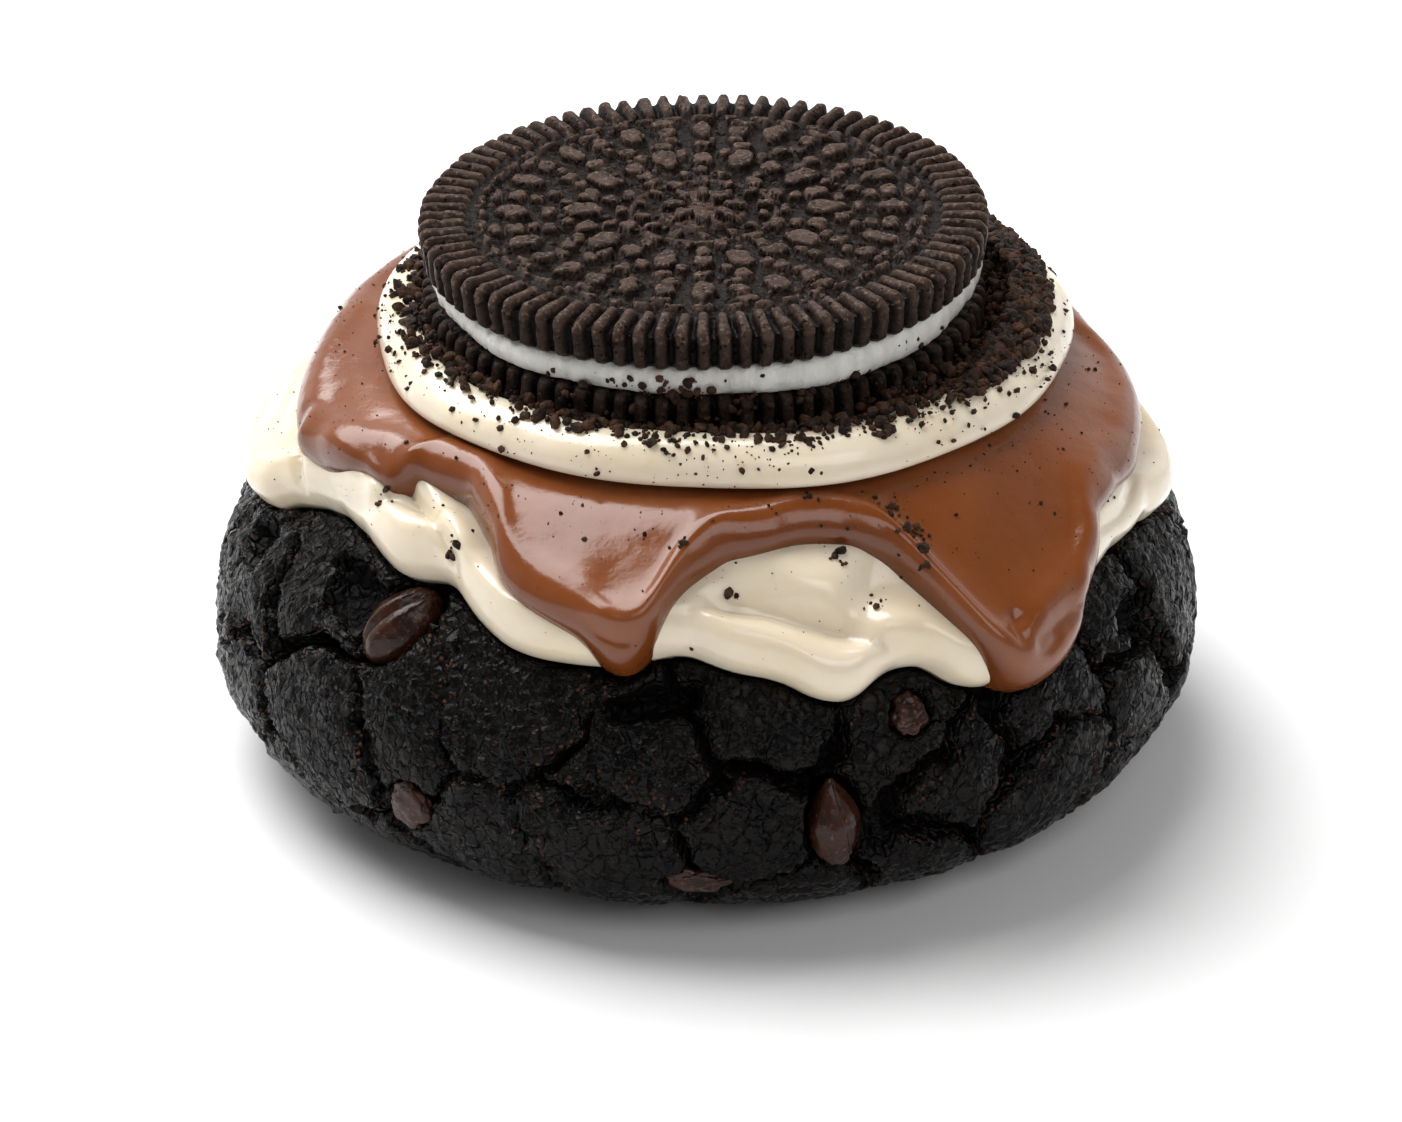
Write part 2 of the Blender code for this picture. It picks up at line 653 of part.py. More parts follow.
def make_filling(material, collection):
    """The filling: a disc with a wavy edge, whose top leans with the upper wafer."""
    bm = bmesh.new()
    bmesh.ops.create_cone(
        bm, cap_ends=True, segments=FILLING_SEGMENTS,
        radius1=FILLING_RADIUS, radius2=FILLING_RADIUS, depth=FILLING_THICKNESS,
    )
    sides = [e for e in bm.edges if abs(e.verts[0].co.z - e.verts[1].co.z) > FILLING_THICKNESS / 2]
    bmesh.ops.subdivide_edges(bm, edges=sides, cuts=1, use_grid_fill=True)
    for vertex in bm.verts:
        turn = math.atan2(vertex.co.y, vertex.co.x)
        out = FILLING_RADIUS + (FILLING_BULGE if abs(vertex.co.z) < FILLING_THICKNESS / 4 else 0.0)
        out += sum(size * math.sin(count * turn + start) for count, size, start in FILLING_WAVES)
        vertex.co.x = out * math.cos(turn)
        vertex.co.y = out * math.sin(turn)
        if vertex.co.z > FILLING_THICKNESS / 4:
            vertex.co.z += vertex.co.x * math.tan(UPPER_TILT)
    filling = new_object("filling", mesh_of(bm, "filling"), collection, material)
    bottom = LOWER_WAFER_Z + WAFER_THICKNESS + GAP
    filling.location = (WAFER_CENTRE_X, 0.0, bottom + FILLING_THICKNESS / 2)
    return filling


def make_upper_wafer(material, collection):
    wafer = new_object("upper_wafer", mesh_of(ribbed_disc(), "upper_wafer"), collection, material)
    patterns = new_collection("pattern_to_join", hidden=True)
    join_helpers(wafer, [make_pattern(patterns)], patterns)
    bottom = LOWER_WAFER_Z + WAFER_THICKNESS + FILLING_THICKNESS + 2 * GAP
    wafer.location = (WAFER_CENTRE_X, 0.0, bottom)
    wafer.rotation_euler = (0.0, -UPPER_TILT, 0.0)
    return wafer


def main():
    clear_scene()
    cookie = new_collection(NAME)
    make_dough(new_material("baked_dough", DOUGH_LOOK), cookie)
    chip_material = new_material("chip_chocolate", CHIP_LOOK)
    for name in CHIPS:
        make_chip(name, chip_material, cookie)
    make_cap(
        "frosting", FROSTING_SEGMENTS, FROSTING_RINGS, FROSTING_INNER_RINGS,
        frosting_hem, frosting_lift, frosting_floor, new_material("cream_frosting", FROSTING_LOOK), cookie,
    )
    make_cap(
        "chocolate_sauce", SAUCE_SEGMENTS, SAUCE_RINGS, SAUCE_INNER_RINGS,
        sauce_hem, sauce_lift, sauce_floor, new_material("milk_chocolate_sauce", SAUCE_LOOK), cookie,
    )
    make_bed(new_material("piped_cream", BED_LOOK), cookie)
    wafer_material = new_material("dark_wafer", WAFER_LOOK)
    make_lower_wafer(wafer_material, cookie)
    make_filling(new_material("vanilla_filling", FILLING_LOOK), cookie)
    make_upper_wafer(wafer_material, cookie)


main()
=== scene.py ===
"""Looks of a thick dark chocolate cookie with frosting, sauce and a sandwich biscuit on top.

Metres, +Z up, the front is -Y. An azimuth is in degrees from the front towards +X. A run is the
distance from the middle of the dough's crown down over its side, and a lift the distance out from
the plain dough.
"""

import itertools
import math
import random

import bpy
import numpy as np
from mathutils import Matrix, Vector, noise


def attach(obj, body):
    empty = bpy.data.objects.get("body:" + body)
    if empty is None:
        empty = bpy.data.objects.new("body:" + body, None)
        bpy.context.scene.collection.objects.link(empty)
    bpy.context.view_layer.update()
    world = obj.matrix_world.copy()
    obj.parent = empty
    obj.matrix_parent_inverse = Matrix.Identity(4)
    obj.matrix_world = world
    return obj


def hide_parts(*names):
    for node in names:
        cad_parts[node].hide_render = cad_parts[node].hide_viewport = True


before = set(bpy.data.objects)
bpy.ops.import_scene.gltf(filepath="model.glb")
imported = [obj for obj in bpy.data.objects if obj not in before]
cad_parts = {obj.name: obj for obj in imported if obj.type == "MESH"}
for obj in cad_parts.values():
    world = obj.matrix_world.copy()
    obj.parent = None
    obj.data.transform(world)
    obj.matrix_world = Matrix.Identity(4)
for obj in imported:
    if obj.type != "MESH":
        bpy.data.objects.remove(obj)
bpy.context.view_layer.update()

# Dough
HALF_WIDTH = 0.0405
FOOT_RADIUS = 0.027
EQUATOR = 0.0105
CROWN = 0.0325
SQUARENESS = 2.4
OUTLINE_STEPS = 600
CRUST_SEGMENTS = 720
CRUST_HIDDEN_RINGS = 6
CRUST_SHOWN_RINGS = 118
CRUST_BASE_RINGS = 4
CRUST_SHOWN_FROM = 0.0300

# Plates of the crust and the cracks between them
FRONT_PLATES = (
    (-85, 0.0201), (-74, 0.0176), (-58, 0.0234), (-50, 0.0140), (-39, 0.0170), (-25, 0.0203),
    (-7, 0.0173), (8, 0.0200), (22, 0.0183), (46, 0.0171), (60, 0.0215), (75, 0.0180),
    (-72, 0.0094), (-57, 0.0042), (-45, 0.0031), (-29, 0.0084), (-12, 0.0101), (6, 0.0113),
    (14, 0.0047), (30, 0.0128), (44, 0.0096), (61, 0.0123), (60, 0.0056), (23, 0.0066),
)
BACK_ROWS = ((0.0045, 23, 82), (0.0115, 27, 92), (0.0190, 24, 103), (0.0262, 31, 85))
BACK_END = 272
PLATE_SEED = 11
PLATE_JITTER = 0.0048

# Hollows of the crust: azimuth, height, half-width, half-height, depth, lean
CRUST_HOLLOWS = (
    (-52, 0.0232, 0.0050, 0.0026, 0.0026, 25), (-6, 0.0218, 0.0048, 0.0016, 0.0030, -18),
    (21, 0.0112, 0.0017, 0.0036, 0.0030, 5), (63, 0.0194, 0.0024, 0.0020, 0.0030, 0),
    (36, 0.0190, 0.0014, 0.0030, 0.0020, 0), (-76, 0.0212, 0.0026, 0.0020, 0.0020, 30),
    (118, 0.0170, 0.0030, 0.0018, 0.0024, 20), (176, 0.0140, 0.0032, 0.0018, 0.0024, -15),
    (222, 0.0190, 0.0028, 0.0018, 0.0024, 25), (-100, 0.0120, 0.0026, 0.0016, 0.0020, 10),
)

# Frosting, with folds along its hem: azimuth, half-width, distance above the hem, half-height, lift
FROSTING_TOP = 0.0332
FROSTING_SHOULDER_LIFT = 0.0043
FROSTING_EDGE_LIFT = 0.0031
FROSTING_SHOULDER_RUN = 0.026
FROSTING_FALL_RUN = 0.010
SHOULDER_ROUND = 0.0005
FROSTING_NOSE = 0.0027
# Hem lines: azimuth, and run in tenths of a millimetre
FROSTING_HEM = (
    (-96, 380), (-90, 390), (-83, 384), (-78, 372), (-76, 356), (-70, 337), (-64, 327), (-57, 328),
    (-52, 335), (-47, 341), (-44, 339), (-40, 331), (-37, 333), (-33, 348), (-30, 358), (-26, 369),
    (-22, 373), (-18, 373), (-13, 372), (-10, 368), (-7, 363), (-4, 358), (-2, 358), (0, 363),
    (2, 369), (5, 375), (7, 377), (10, 384), (13, 398), (16, 404), (18, 403), (20, 395), (22, 387),
    (24, 384), (28, 387), (30, 405), (33, 415), (36, 418), (42, 405), (50, 385), (58, 376),
    (64, 371), (70, 376), (75, 377), (77, 384), (83, 394), (89, 390), (94, 372), (100, 345),
    (110, 332), (122, 345), (130, 388), (137, 396), (145, 388), (154, 356), (166, 349), (178, 362),
    (184, 394), (190, 399), (197, 388), (206, 368), (216, 373), (228, 366), (238, 334), (247, 326),
    (256, 336), (261, 365),
)
FROSTING_FOLDS = (
    (12, 21, 0.0052, 0.0022, -0.0010), (10, 24, 0.0082, 0.0020, 0.0005),
    (-44, 24, 0.0046, 0.0016, -0.0009), (-38, 20, 0.0022, 0.0014, 0.0004),
    (-86, 16, 0.0040, 0.0016, -0.0007), (80, 18, 0.0044, 0.0018, -0.0008),
    (150, 26, 0.0046, 0.0018, -0.0008), (205, 24, 0.0044, 0.0018, -0.0008),
)

# Sauce
SAUCE_THICKNESS = 0.0012
SAUCE_EDGE_THICKNESS = 0.0016
SAUCE_EDGE_RUN = 0.008
SAUCE_NOSE = 0.0019
DRAPE_GAP = 0.0005
SAUCE_HEM = (
    (-104, 300), (-94, 306), (-86, 314), (-78, 323), (-73, 327), (-68, 321), (-62, 312), (-58, 304),
    (-54, 303), (-51, 304), (-49, 285), (-43, 284), (-39, 284), (-35, 297), (-31, 312), (-29, 327),
    (-27, 337), (-24, 347), (-20, 355), (-17, 360), (-15, 364), (-12.5, 377), (-10, 381), (-8, 376),
    (-6, 357), (-5, 343), (-4, 334), (-2, 319), (1, 307), (3, 302), (6, 301), (10, 298), (13, 293),
    (17, 294), (21, 300), (23, 307), (26, 318), (27.5, 334), (29, 348), (30, 361), (32, 384),
    (33, 403), (34.5, 418), (37, 428), (40, 430), (44, 427), (47, 415), (50, 394), (54, 377),
    (57, 359), (60, 348), (67, 344), (74, 349), (79, 347), (86, 344), (93, 336), (100, 312),
    (110, 303), (121, 312), (129, 340), (133, 360), (137, 367), (141, 360), (146, 335), (154, 306),
    (163, 301), (172, 306), (180, 345), (184, 374), (187, 379), (191, 374), (196, 350), (204, 325),
    (214, 327), (225, 322), (234, 306), (242, 301), (250, 303),
)

# Cream bed
BED_CENTRE_X = 0.0014
BED_BOTTOM = 0.0350
BED_HALF_WIDTH = 0.0280
BED_CREST_RADIUS = 0.0252
BED_CREST = 0.0386
BED_RECESS_RADIUS = 0.0231
BED_RECESS = 0.0363
BED_FOOT_RADIUS = 0.0262

# Sandwich biscuit
WAFER_CENTRE_X = -0.0001
RIBS = 84
WAFER_RADIUS = 0.0228
WAFER_THICKNESS = 0.0035
RIB_DEPTH = 0.0006
RIM_BEVEL = 0.0010
WAFER_DRAFT = 0.0003
RIB_INNER_RADIUS = 0.0189
FIELD_DROP = 0.0005
LOWER_WAFER_Z = 0.0367
FILLING_THICKNESS = 0.0021
FILLING_RADIUS = 0.0214
UPPER_TILT = math.radians(1.0)
GAP = 0.0003

# Chocolate chips: azimuth, height, half-width, half-length, half-thickness, lean, tip, sunk
CHIPS = {
    "chip_left": (-44, 0.0232, 0.0027, 0.0038, 0.0023, 24, 0.15, 0.0021),
    "chip_drop": (15, 0.0114, 0.0022, 0.0038, 0.0021, -5, 0.75, 0.0020),
    "chip_flat": (-36, 0.0097, 0.0018, 0.0020, 0.0012, 20, 0.10, 0.0012),
    "chip_base": (-1, 0.0060, 0.0024, 0.0014, 0.0012, 0, 0.10, 0.0013),
    "chip_notch": (25, 0.0196, 0.0015, 0.0017, 0.0013, 30, 0.30, 0.0013),
    "chip_right": (104, 0.0135, 0.0022, 0.0034, 0.0021, -25, 0.60, 0.0020),
    "chip_back": (163, 0.0170, 0.0023, 0.0030, 0.0021, 55, 0.20, 0.0021),
    "chip_back_low": (205, 0.0085, 0.0022, 0.0034, 0.0020, 12, 0.70, 0.0019),
    "chip_far_left": (-110, 0.0150, 0.0021, 0.0027, 0.0019, -70, 0.20, 0.0019),
}
POCKET_MARGIN = 1.22
POCKET_CLEAR = 0.0003


def nothing_selected():
    bpy.ops.object.select_all(action="DESELECT")


def smooth(t):
    t = np.clip(t, 0.0, 1.0)
    return t * t * (3.0 - 2.0 * t)


LATTICE_PRIMES = (374761393, 668265263, 2147483647)
SEED_PRIME = 1274126177


def lattice_value(corner, seed):
    """A repeatable number from -1 to 1 for each whole-number corner."""
    key = sum(corner[..., k] * prime for k, prime in enumerate(LATTICE_PRIMES)) + seed * SEED_PRIME
    key = (key ^ (key >> 13)) & 0xFFFFFFFF
    key = (key * SEED_PRIME) & 0xFFFFFFFF
    key = (key ^ (key >> 16)) & 0xFFFFFF
    return key / 0x7FFFFF - 1.0


def grain(points, size, seed=0):
    """Smooth noise from -1 to 1 at each point, with lumps about this size."""
    place = np.asarray(points) / size
    corner = np.floor(place).astype(np.int64)
    part = smooth(place - corner)
    total = np.zeros(len(place))
    for step in itertools.product((0, 1), repeat=3):
        weight = np.prod(np.where(step, part, 1.0 - part), axis=1)
        total += weight * lattice_value(corner + np.array(step), seed)
    return total


def rough_grain(points, size, seed=0, layers=3):
    """Noise in several sizes, each half the one before."""
    total = np.zeros(len(points))
    for layer in range(layers):
        total += grain(points, size / 2**layer, seed + layer) / 2**layer
    return total


def cell_edges(points, size, seed=0):
    """Distance to the nearest cell's middle, and how much farther the second is, in cell sizes."""
    place = np.asarray(points) / size
    corner = np.floor(place).astype(np.int64)
    nearest = np.full(len(place), 9.0)
    second = np.full(len(place), 9.0)
    for step in itertools.product((-1, 0, 1), repeat=3):
        cell = corner + np.array(step)
        middle = cell + 0.5 + 0.42 * np.stack([lattice_value(cell, seed + k) for k in range(3)], axis=-1)
        apart = np.linalg.norm(place - middle, axis=1)
        closer = apart < nearest
        second = np.where(closer, nearest, np.minimum(second, apart))
        nearest = np.where(closer, apart, nearest)
    return nearest, second - nearest


def turned_by(azimuth, centre):
    """Degrees from centre to azimuth, the short way round."""
    return (azimuth - centre + 180.0) % 360.0 - 180.0


def tongue(azimuth, centre, half_width):
    return smooth(1.6 * (1.0 - np.abs(turned_by(azimuth, centre)) / half_width))


def dough_outline():
    """Radius and height of points from the crown over the side to the middle of the base."""
    turn = np.linspace(0.0, math.pi / 2, OUTLINE_STEPS)
    upper_r = HALF_WIDTH * np.sin(turn) ** (2 / SQUARENESS)
    upper_z = EQUATOR + (CROWN - EQUATOR) * np.abs(np.cos(turn)) ** (2 / SQUARENESS)
    lower_r = FOOT_RADIUS + (HALF_WIDTH - FOOT_RADIUS) * np.cos(turn[1:])
    lower_z = EQUATOR - EQUATOR * np.sin(turn[1:])
    return np.concatenate([upper_r, lower_r, [0.0]]), np.concatenate([upper_z, lower_z, [0.0]])


OUTLINE_R, OUTLINE_Z = dough_outline()
OUTLINE_RUN = np.concatenate([[0.0], np.cumsum(np.hypot(np.diff(OUTLINE_R), np.diff(OUTLINE_Z)))])
NORMAL_STEP = 0.0004


def outline_at(run):
    return np.interp(run, OUTLINE_RUN, OUTLINE_R), np.interp(run, OUTLINE_RUN, OUTLINE_Z)


def outline_normal(run):
    r0, z0 = outline_at(np.maximum(run - NORMAL_STEP, 0.0))
    r1, z1 = outline_at(run + NORMAL_STEP)
    length = np.hypot(r1 - r0, z1 - z0)
    return (z0 - z1) / length, (r1 - r0) / length


def run_at_height(height):
    side = len(OUTLINE_Z) - 1
    return float(np.interp(-height, -OUTLINE_Z[:side], OUTLINE_RUN[:side]))


def on_dough(azimuth, run, lift=0.0):
    """World points at these azimuths, runs and lifts."""
    radius, height = outline_at(run)
    normal_r, normal_z = outline_normal(run)
    radius = radius + lift * normal_r
    turn = np.radians(azimuth)
    return np.stack([radius * np.sin(turn), -radius * np.cos(turn), height + lift * normal_z], axis=-1)


def across_and_up(azimuth, run, at, height, lean):
    """Distances of points from a place on the dough's side: sideways and up its slope, leaned."""
    middle = run_at_height(height)
    radius, _ = outline_at(middle)
    across = np.radians(turned_by(azimuth, at)) * radius
    up = middle - run
    tilt = math.radians(lean)
    return across * math.cos(tilt) - up * math.sin(tilt), across * math.sin(tilt) + up * math.cos(tilt)


def plate_middles():
    """Points at the middle of each plate of the crust, on the plain dough."""
    draw = random.Random(PLATE_SEED)
    places = [(azimuth, run_at_height(height)) for azimuth, height in FRONT_PLATES]
    for height, spacing, first in BACK_ROWS:
        for azimuth in range(first, BACK_END, spacing):
            turn = math.degrees(draw.uniform(-PLATE_JITTER, PLATE_JITTER) / HALF_WIDTH)
            run = run_at_height(height) + draw.uniform(-PLATE_JITTER, PLATE_JITTER)
            places.append((azimuth + turn, run))
    return np.array([on_dough(azimuth, run) for azimuth, run in places])


# Cracks: how wide and deep they are, how they wander, and how their edges crumble
CRACK_HALF_WIDTH = 0.00085
CRACK_DEPTH = 0.0030
PLATE_EDGE = 0.0040
PLATE_SAG = 0.00045
CRACK_WARP = 0.0026
CRACK_WARP_SCALE = 150.0
WARP_SHIFTS = (0.0, 31.7, 73.3)
CRACK_VARY_SCALE = 70.0
JAG = 0.0008
JAG_SIZE = 0.0022
LUMP_DEPTH = 0.0007
LUMP_SCALE = 190.0
BASE_CLEAR = 0.0018
HIDDEN_RUN = 0.0050
HIDDEN_FADE = 0.0030
CELL_SIZE = 0.0012
CELL_GROOVE = 0.00016
CRUMBLE = 0.00030
PRESSED = 0.0008
RAGGED_SIZE = 0.0016
NARROWEST_CRACK = 0.22
WIDEST_CRACK = 1.7
OPEN_AT = 0.0016
EDGE_REACH = 0.0022
SKIN_ROUGH = 0.00010
SKIN_GRAIN = 0.0011


def slow_noise(points, scale, shift=0.0):
    return np.array([noise.noise(Vector(p) * scale + Vector((shift, shift, shift))) for p in points])


def crack_distance(points):
    """Distance of each point from the nearest line between two plates, with ragged edges."""
    middles = plate_middles()
    wander = np.stack([slow_noise(points, CRACK_WARP_SCALE, shift) for shift in WARP_SHIFTS], axis=-1)
    jagged = np.stack([rough_grain(points, JAG_SIZE, seed) for seed in (11, 23, 37)], axis=-1)
    moved = points + CRACK_WARP * wander + JAG * jagged
    apart = np.stack([np.linalg.norm(moved - middle, axis=1) for middle in middles], axis=1)
    order = np.argsort(apart, axis=1)[:, :3]
    rows = np.arange(len(points))
    nearest = apart[rows, order[:, 0]]
    best = np.full(len(points), 1.0)
    for other in (1, 2):
        between = np.linalg.norm(middles[order[:, 0]] - middles[order[:, other]], axis=1)
        best = np.minimum(best, (apart[rows, order[:, other]] ** 2 - nearest**2) / (2 * between))
    return best


def pocket_depth(azimuth, run):
    """How deep the hollows round the chips are at each point."""
    depth = np.zeros(len(run))
    for at, height, half_width, half_length, half_thick, lean, _, sunk in CHIPS.values():
        side, along = across_and_up(azimuth, run, at, height, lean)
        out = np.hypot(side / (half_width * POCKET_MARGIN), along / (half_length * POCKET_MARGIN))
        bowl = (half_thick + sunk + POCKET_CLEAR) * np.clip(1.0 - out**3, 0.0, 1.0) ** 0.6
        depth = np.maximum(depth, bowl)
    return depth


def hollow_depth(azimuth, run, ragged):
    """How deep the open hollows between plates are, with ragged rims."""
    depth = np.zeros(len(run))
    for at, height, half_width, half_height, deep, lean in CRUST_HOLLOWS:
        side, along = across_and_up(azimuth, run, at, height, lean)
        out = np.hypot(side / half_width, along / half_height) + 0.28 * ragged
        depth = np.maximum(depth, deep * np.sqrt(np.clip(1.0 - out**2, 0.0, 1.0)))
    return depth


def crust_relief(azimuth, run):
    """How far the crust lies in from the plain dough, how open it is, and how crumbly."""
    points = on_dough(azimuth, run)
    distance = crack_distance(points)
    vary = slow_noise(points, CRACK_VARY_SCALE)
    lumps = slow_noise(points, LUMP_SCALE)
    ragged = rough_grain(points, RAGGED_SIZE, 5)
    openness = 0.58 + 1.7 * vary + 0.45 * grain(points, 0.006, 9)
    openness = np.clip(openness, NARROWEST_CRACK, WIDEST_CRACK)
    filled = smooth(distance / (CRACK_HALF_WIDTH * openness))
    crack = CRACK_DEPTH * np.minimum(openness, 1.15) * (1.0 - filled)
    sag = PLATE_SAG * np.minimum(openness, 1.0) * (1.0 - smooth(distance / PLATE_EDGE))
    opened = np.maximum(crack, np.maximum(hollow_depth(azimuth, run, ragged), pocket_depth(azimuth, run)))
    _, apart = cell_edges(points + 0.0005 * ragged[:, None], CELL_SIZE, 3)
    groove = CELL_GROOVE * (1.0 - smooth(apart / 0.35))
    edge = np.clip(1.0 - distance / EDGE_REACH, 0.0, 1.0)
    rough = (SKIN_ROUGH + CRUMBLE * edge) * rough_grain(points, SKIN_GRAIN, 17)
    skin = sag + LUMP_DEPTH * (0.5 + 0.5 * lumps) + groove + rough
    hem = np.maximum(frosting_hem(azimuth), sauce_hem(azimuth))
    skin += PRESSED * smooth((hem + 0.0006 - run) / 0.0008)
    above_base = smooth(points[:, 2] / BASE_CLEAR)
    bare = smooth((run - frosting_hem(azimuth) + HIDDEN_RUN) / HIDDEN_FADE)
    depth = np.maximum(opened + skin, 0.0) * above_base * bare
    return depth, np.clip(opened / OPEN_AT, 0.0, 1.0), edge


HEM_STEP = 0.5
HEM_TURNS = np.arange(-180.0, 180.0, HEM_STEP)
HEM_SOFTNESS = 1.0
HEM_REACH = 12
HEM_UNITS_PER_METRE = 10000


def hem_line(places):
    """A smooth closed line of runs through the places, one for each of HEM_TURNS."""
    azimuths, runs = np.array(places).T
    line = np.interp(HEM_TURNS, azimuths, runs / HEM_UNITS_PER_METRE, period=360.0)
    apart = np.arange(-HEM_REACH, HEM_REACH + 1) * HEM_STEP
    weights = np.exp(-((apart / HEM_SOFTNESS) ** 2) / 2)
    return sum(w * np.roll(line, k - HEM_REACH) for k, w in enumerate(weights)) / weights.sum()


FROSTING_LINE = hem_line(FROSTING_HEM)
SAUCE_LINE = hem_line(SAUCE_HEM)


def frosting_hem(azimuth):
    return np.interp(azimuth, HEM_TURNS, FROSTING_LINE, period=360.0)


def sauce_hem(azimuth):
    return np.interp(azimuth, HEM_TURNS, SAUCE_LINE, period=360.0)


def full_nose(run, hem, length, roundness=2.3):
    """1 up to the rounded edge, then a full curve down to 0 at the hem."""
    into = np.clip((run - (hem - length)) / length, 0.0, 1.0)
    return (1.0 - into**roundness) ** (1.0 / roundness)


# Creases: a path of azimuths and runs, its half-width, its depth, and the height of the roll above it
FROSTING_CREASES = (
    (((-55, 0.0283), (-47, 0.0299), (-42, 0.0306), (-37, 0.0321), (-33, 0.0341)), 0.0005, 0.0007, 0.0009),
    (((-55, 0.0322), (-51, 0.0306), (-46, 0.0299)), 0.0005, 0.0004, 0.0004),
    (((-77, 0.0300), (-74, 0.0330), (-70, 0.0352)), 0.0006, 0.0010, 0.0004),
    (((-69, 0.0322), (-60, 0.0322), (-52, 0.0317)), 0.0006, 0.0004, 0.0005),
    (((-5, 0.0340), (1, 0.0331), (8, 0.0336), (14, 0.0347), (20, 0.0366), (27, 0.0389)),
     0.0008, 0.0007, 0.0006),
    (((57, 0.0352), (66, 0.0358), (76, 0.0350)), 0.0006, 0.0005, 0.0004),
    (((120, 0.0330), (132, 0.0345), (146, 0.0340)), 0.0007, 0.0006, 0.0005),
    (((176, 0.0345), (190, 0.0362), (204, 0.0340)), 0.0007, 0.0006, 0.0005),
)
SAUCE_CREASES = (
    (((-15, 0.0358), (-11, 0.0365), (-7, 0.0363), (-3, 0.0350)), 0.0004, 0.0005, 0.0004),
    (((38, 0.0377), (36.6, 0.0390), (37, 0.0404)), 0.0006, 0.00042, 0.0001),
    (((37.4, 0.0398), (40, 0.0397), (44, 0.0393), (52, 0.0388)), 0.0006, 0.00028, 0.0004),
    (((38, 0.0400), (40.5, 0.0407), (43, 0.0400)), 0.0006, 0.00034, 0.0001),
    (((130, 0.0352), (137, 0.0358), (143, 0.0352)), 0.0004, 0.0004, 0.0003),
    (((180, 0.0360), (187, 0.0366), (194, 0.0360)), 0.0004, 0.0004, 0.0003),
)


def crease_lift(azimuth, run, creases):
    """Grooves along each path, with a soft roll above them that fades at both ends."""
    lift = np.zeros(len(run))
    for path, half_width, deep, roll in creases:
        radius, _ = outline_at(path[len(path) // 2][1])
        middle = path[len(path) // 2][0]
        across = np.radians(turned_by(azimuth, middle)) * radius
        corners = [(math.radians(turned_by(a, middle)) * radius, r) for a, r in path]
        total = sum(math.dist(p, q) for p, q in zip(corners, corners[1:]))
        nearest = np.full(len(run), 1.0)
        side = np.ones(len(run))
        share = np.zeros(len(run))
        walked = 0.0
        for (x0, r0), (x1, r1) in zip(corners, corners[1:]):
            length = math.hypot(x1 - x0, r1 - r0)
            along = np.clip(((across - x0) * (x1 - x0) + (run - r0) * (r1 - r0)) / length**2, 0.0, 1.0)
            off_x = across - x0 - along * (x1 - x0)
            off_r = run - r0 - along * (r1 - r0)
            apart = np.hypot(off_x, off_r)
            closer = apart < nearest
            nearest = np.where(closer, apart, nearest)
            side = np.where(closer, np.sign((x1 - x0) * off_r - (r1 - r0) * off_x), side)
            share = np.where(closer, (walked + along * length) / total, share)
            walked += length
        fade = smooth(4.0 * share) * smooth(4.0 * (1.0 - share))
        groove = -deep * np.exp(-((nearest / half_width) ** 2))
        above = np.where(side < 0, np.exp(-(((nearest - 2.2 * half_width) / (2.0 * half_width)) ** 2)), 0.0)
        lift += fade * (groove + roll * above)
    return lift


# The bead along each hem, and how far a hem sinks in
FROSTING_BEAD = 0.00035
SAUCE_BEAD = 0.00045
BEAD_ABOVE = 0.0024
BEAD_HALF_HEIGHT = 0.0012
HEM_SINK = 0.0002
THINNEST_FROSTING = 0.0006


def bead(hem, run):
    return np.exp(-(((hem - BEAD_ABOVE - run) / BEAD_HALF_HEIGHT) ** 2))


def plain_frosting(run):
    """The frosting's lift without its folds: flat over the crown, then down the shoulder."""
    _, height = outline_at(run)
    _, normal_z = outline_normal(run)
    to_top = (FROSTING_TOP - height) / np.maximum(normal_z, 0.2)
    fallen = smooth((run - FROSTING_SHOULDER_RUN) / FROSTING_FALL_RUN)
    side = FROSTING_SHOULDER_LIFT - (FROSTING_SHOULDER_LIFT - FROSTING_EDGE_LIFT) * fallen
    return -SHOULDER_ROUND * np.log(np.exp(-to_top / SHOULDER_ROUND) + np.exp(-side / SHOULDER_ROUND))


def frosting_lift(azimuth, run):
    """The frosting's outer surface, as a lift. It is 0 beyond the hem."""
    hem = frosting_hem(azimuth)
    lift = plain_frosting(run)
    for centre, half_width, above, half_height, fold in FROSTING_FOLDS:
        across = (hem - above - run) / half_height
        lift = lift + fold * tongue(azimuth, centre, half_width) * np.exp(-(across**2))
    lift = lift + FROSTING_BEAD * bead(hem, run)
    lift = lift + crease_lift(azimuth, run, FROSTING_CREASES)
    nose = full_nose(run, hem, FROSTING_NOSE)
    return np.maximum(lift, THINNEST_FROSTING) * nose - HEM_SINK * (1.0 - nose) * (run <= hem)


# Sauce over the frosting's hem, and the foot ring of each coat
DRAPE_OVER = 0.0022
DRAPE_LENGTH = 0.0065
SAUCE_EDGE_LIFT = 0.0002
HEM_FOOT_IN = 0.0003
HEM_FOOT_DOWN = 0.0011


def sauce_floor(azimuth, run, frosting):
    """Where the sauce's underside drapes, over the frosting and down past its hem."""
    drape = plain_frosting(run) * full_nose(run, frosting_hem(azimuth) + DRAPE_OVER, DRAPE_LENGTH, 2.0)
    return DRAPE_GAP * np.logaddexp(drape / DRAPE_GAP, frosting / DRAPE_GAP) - DRAPE_GAP * math.log(2)


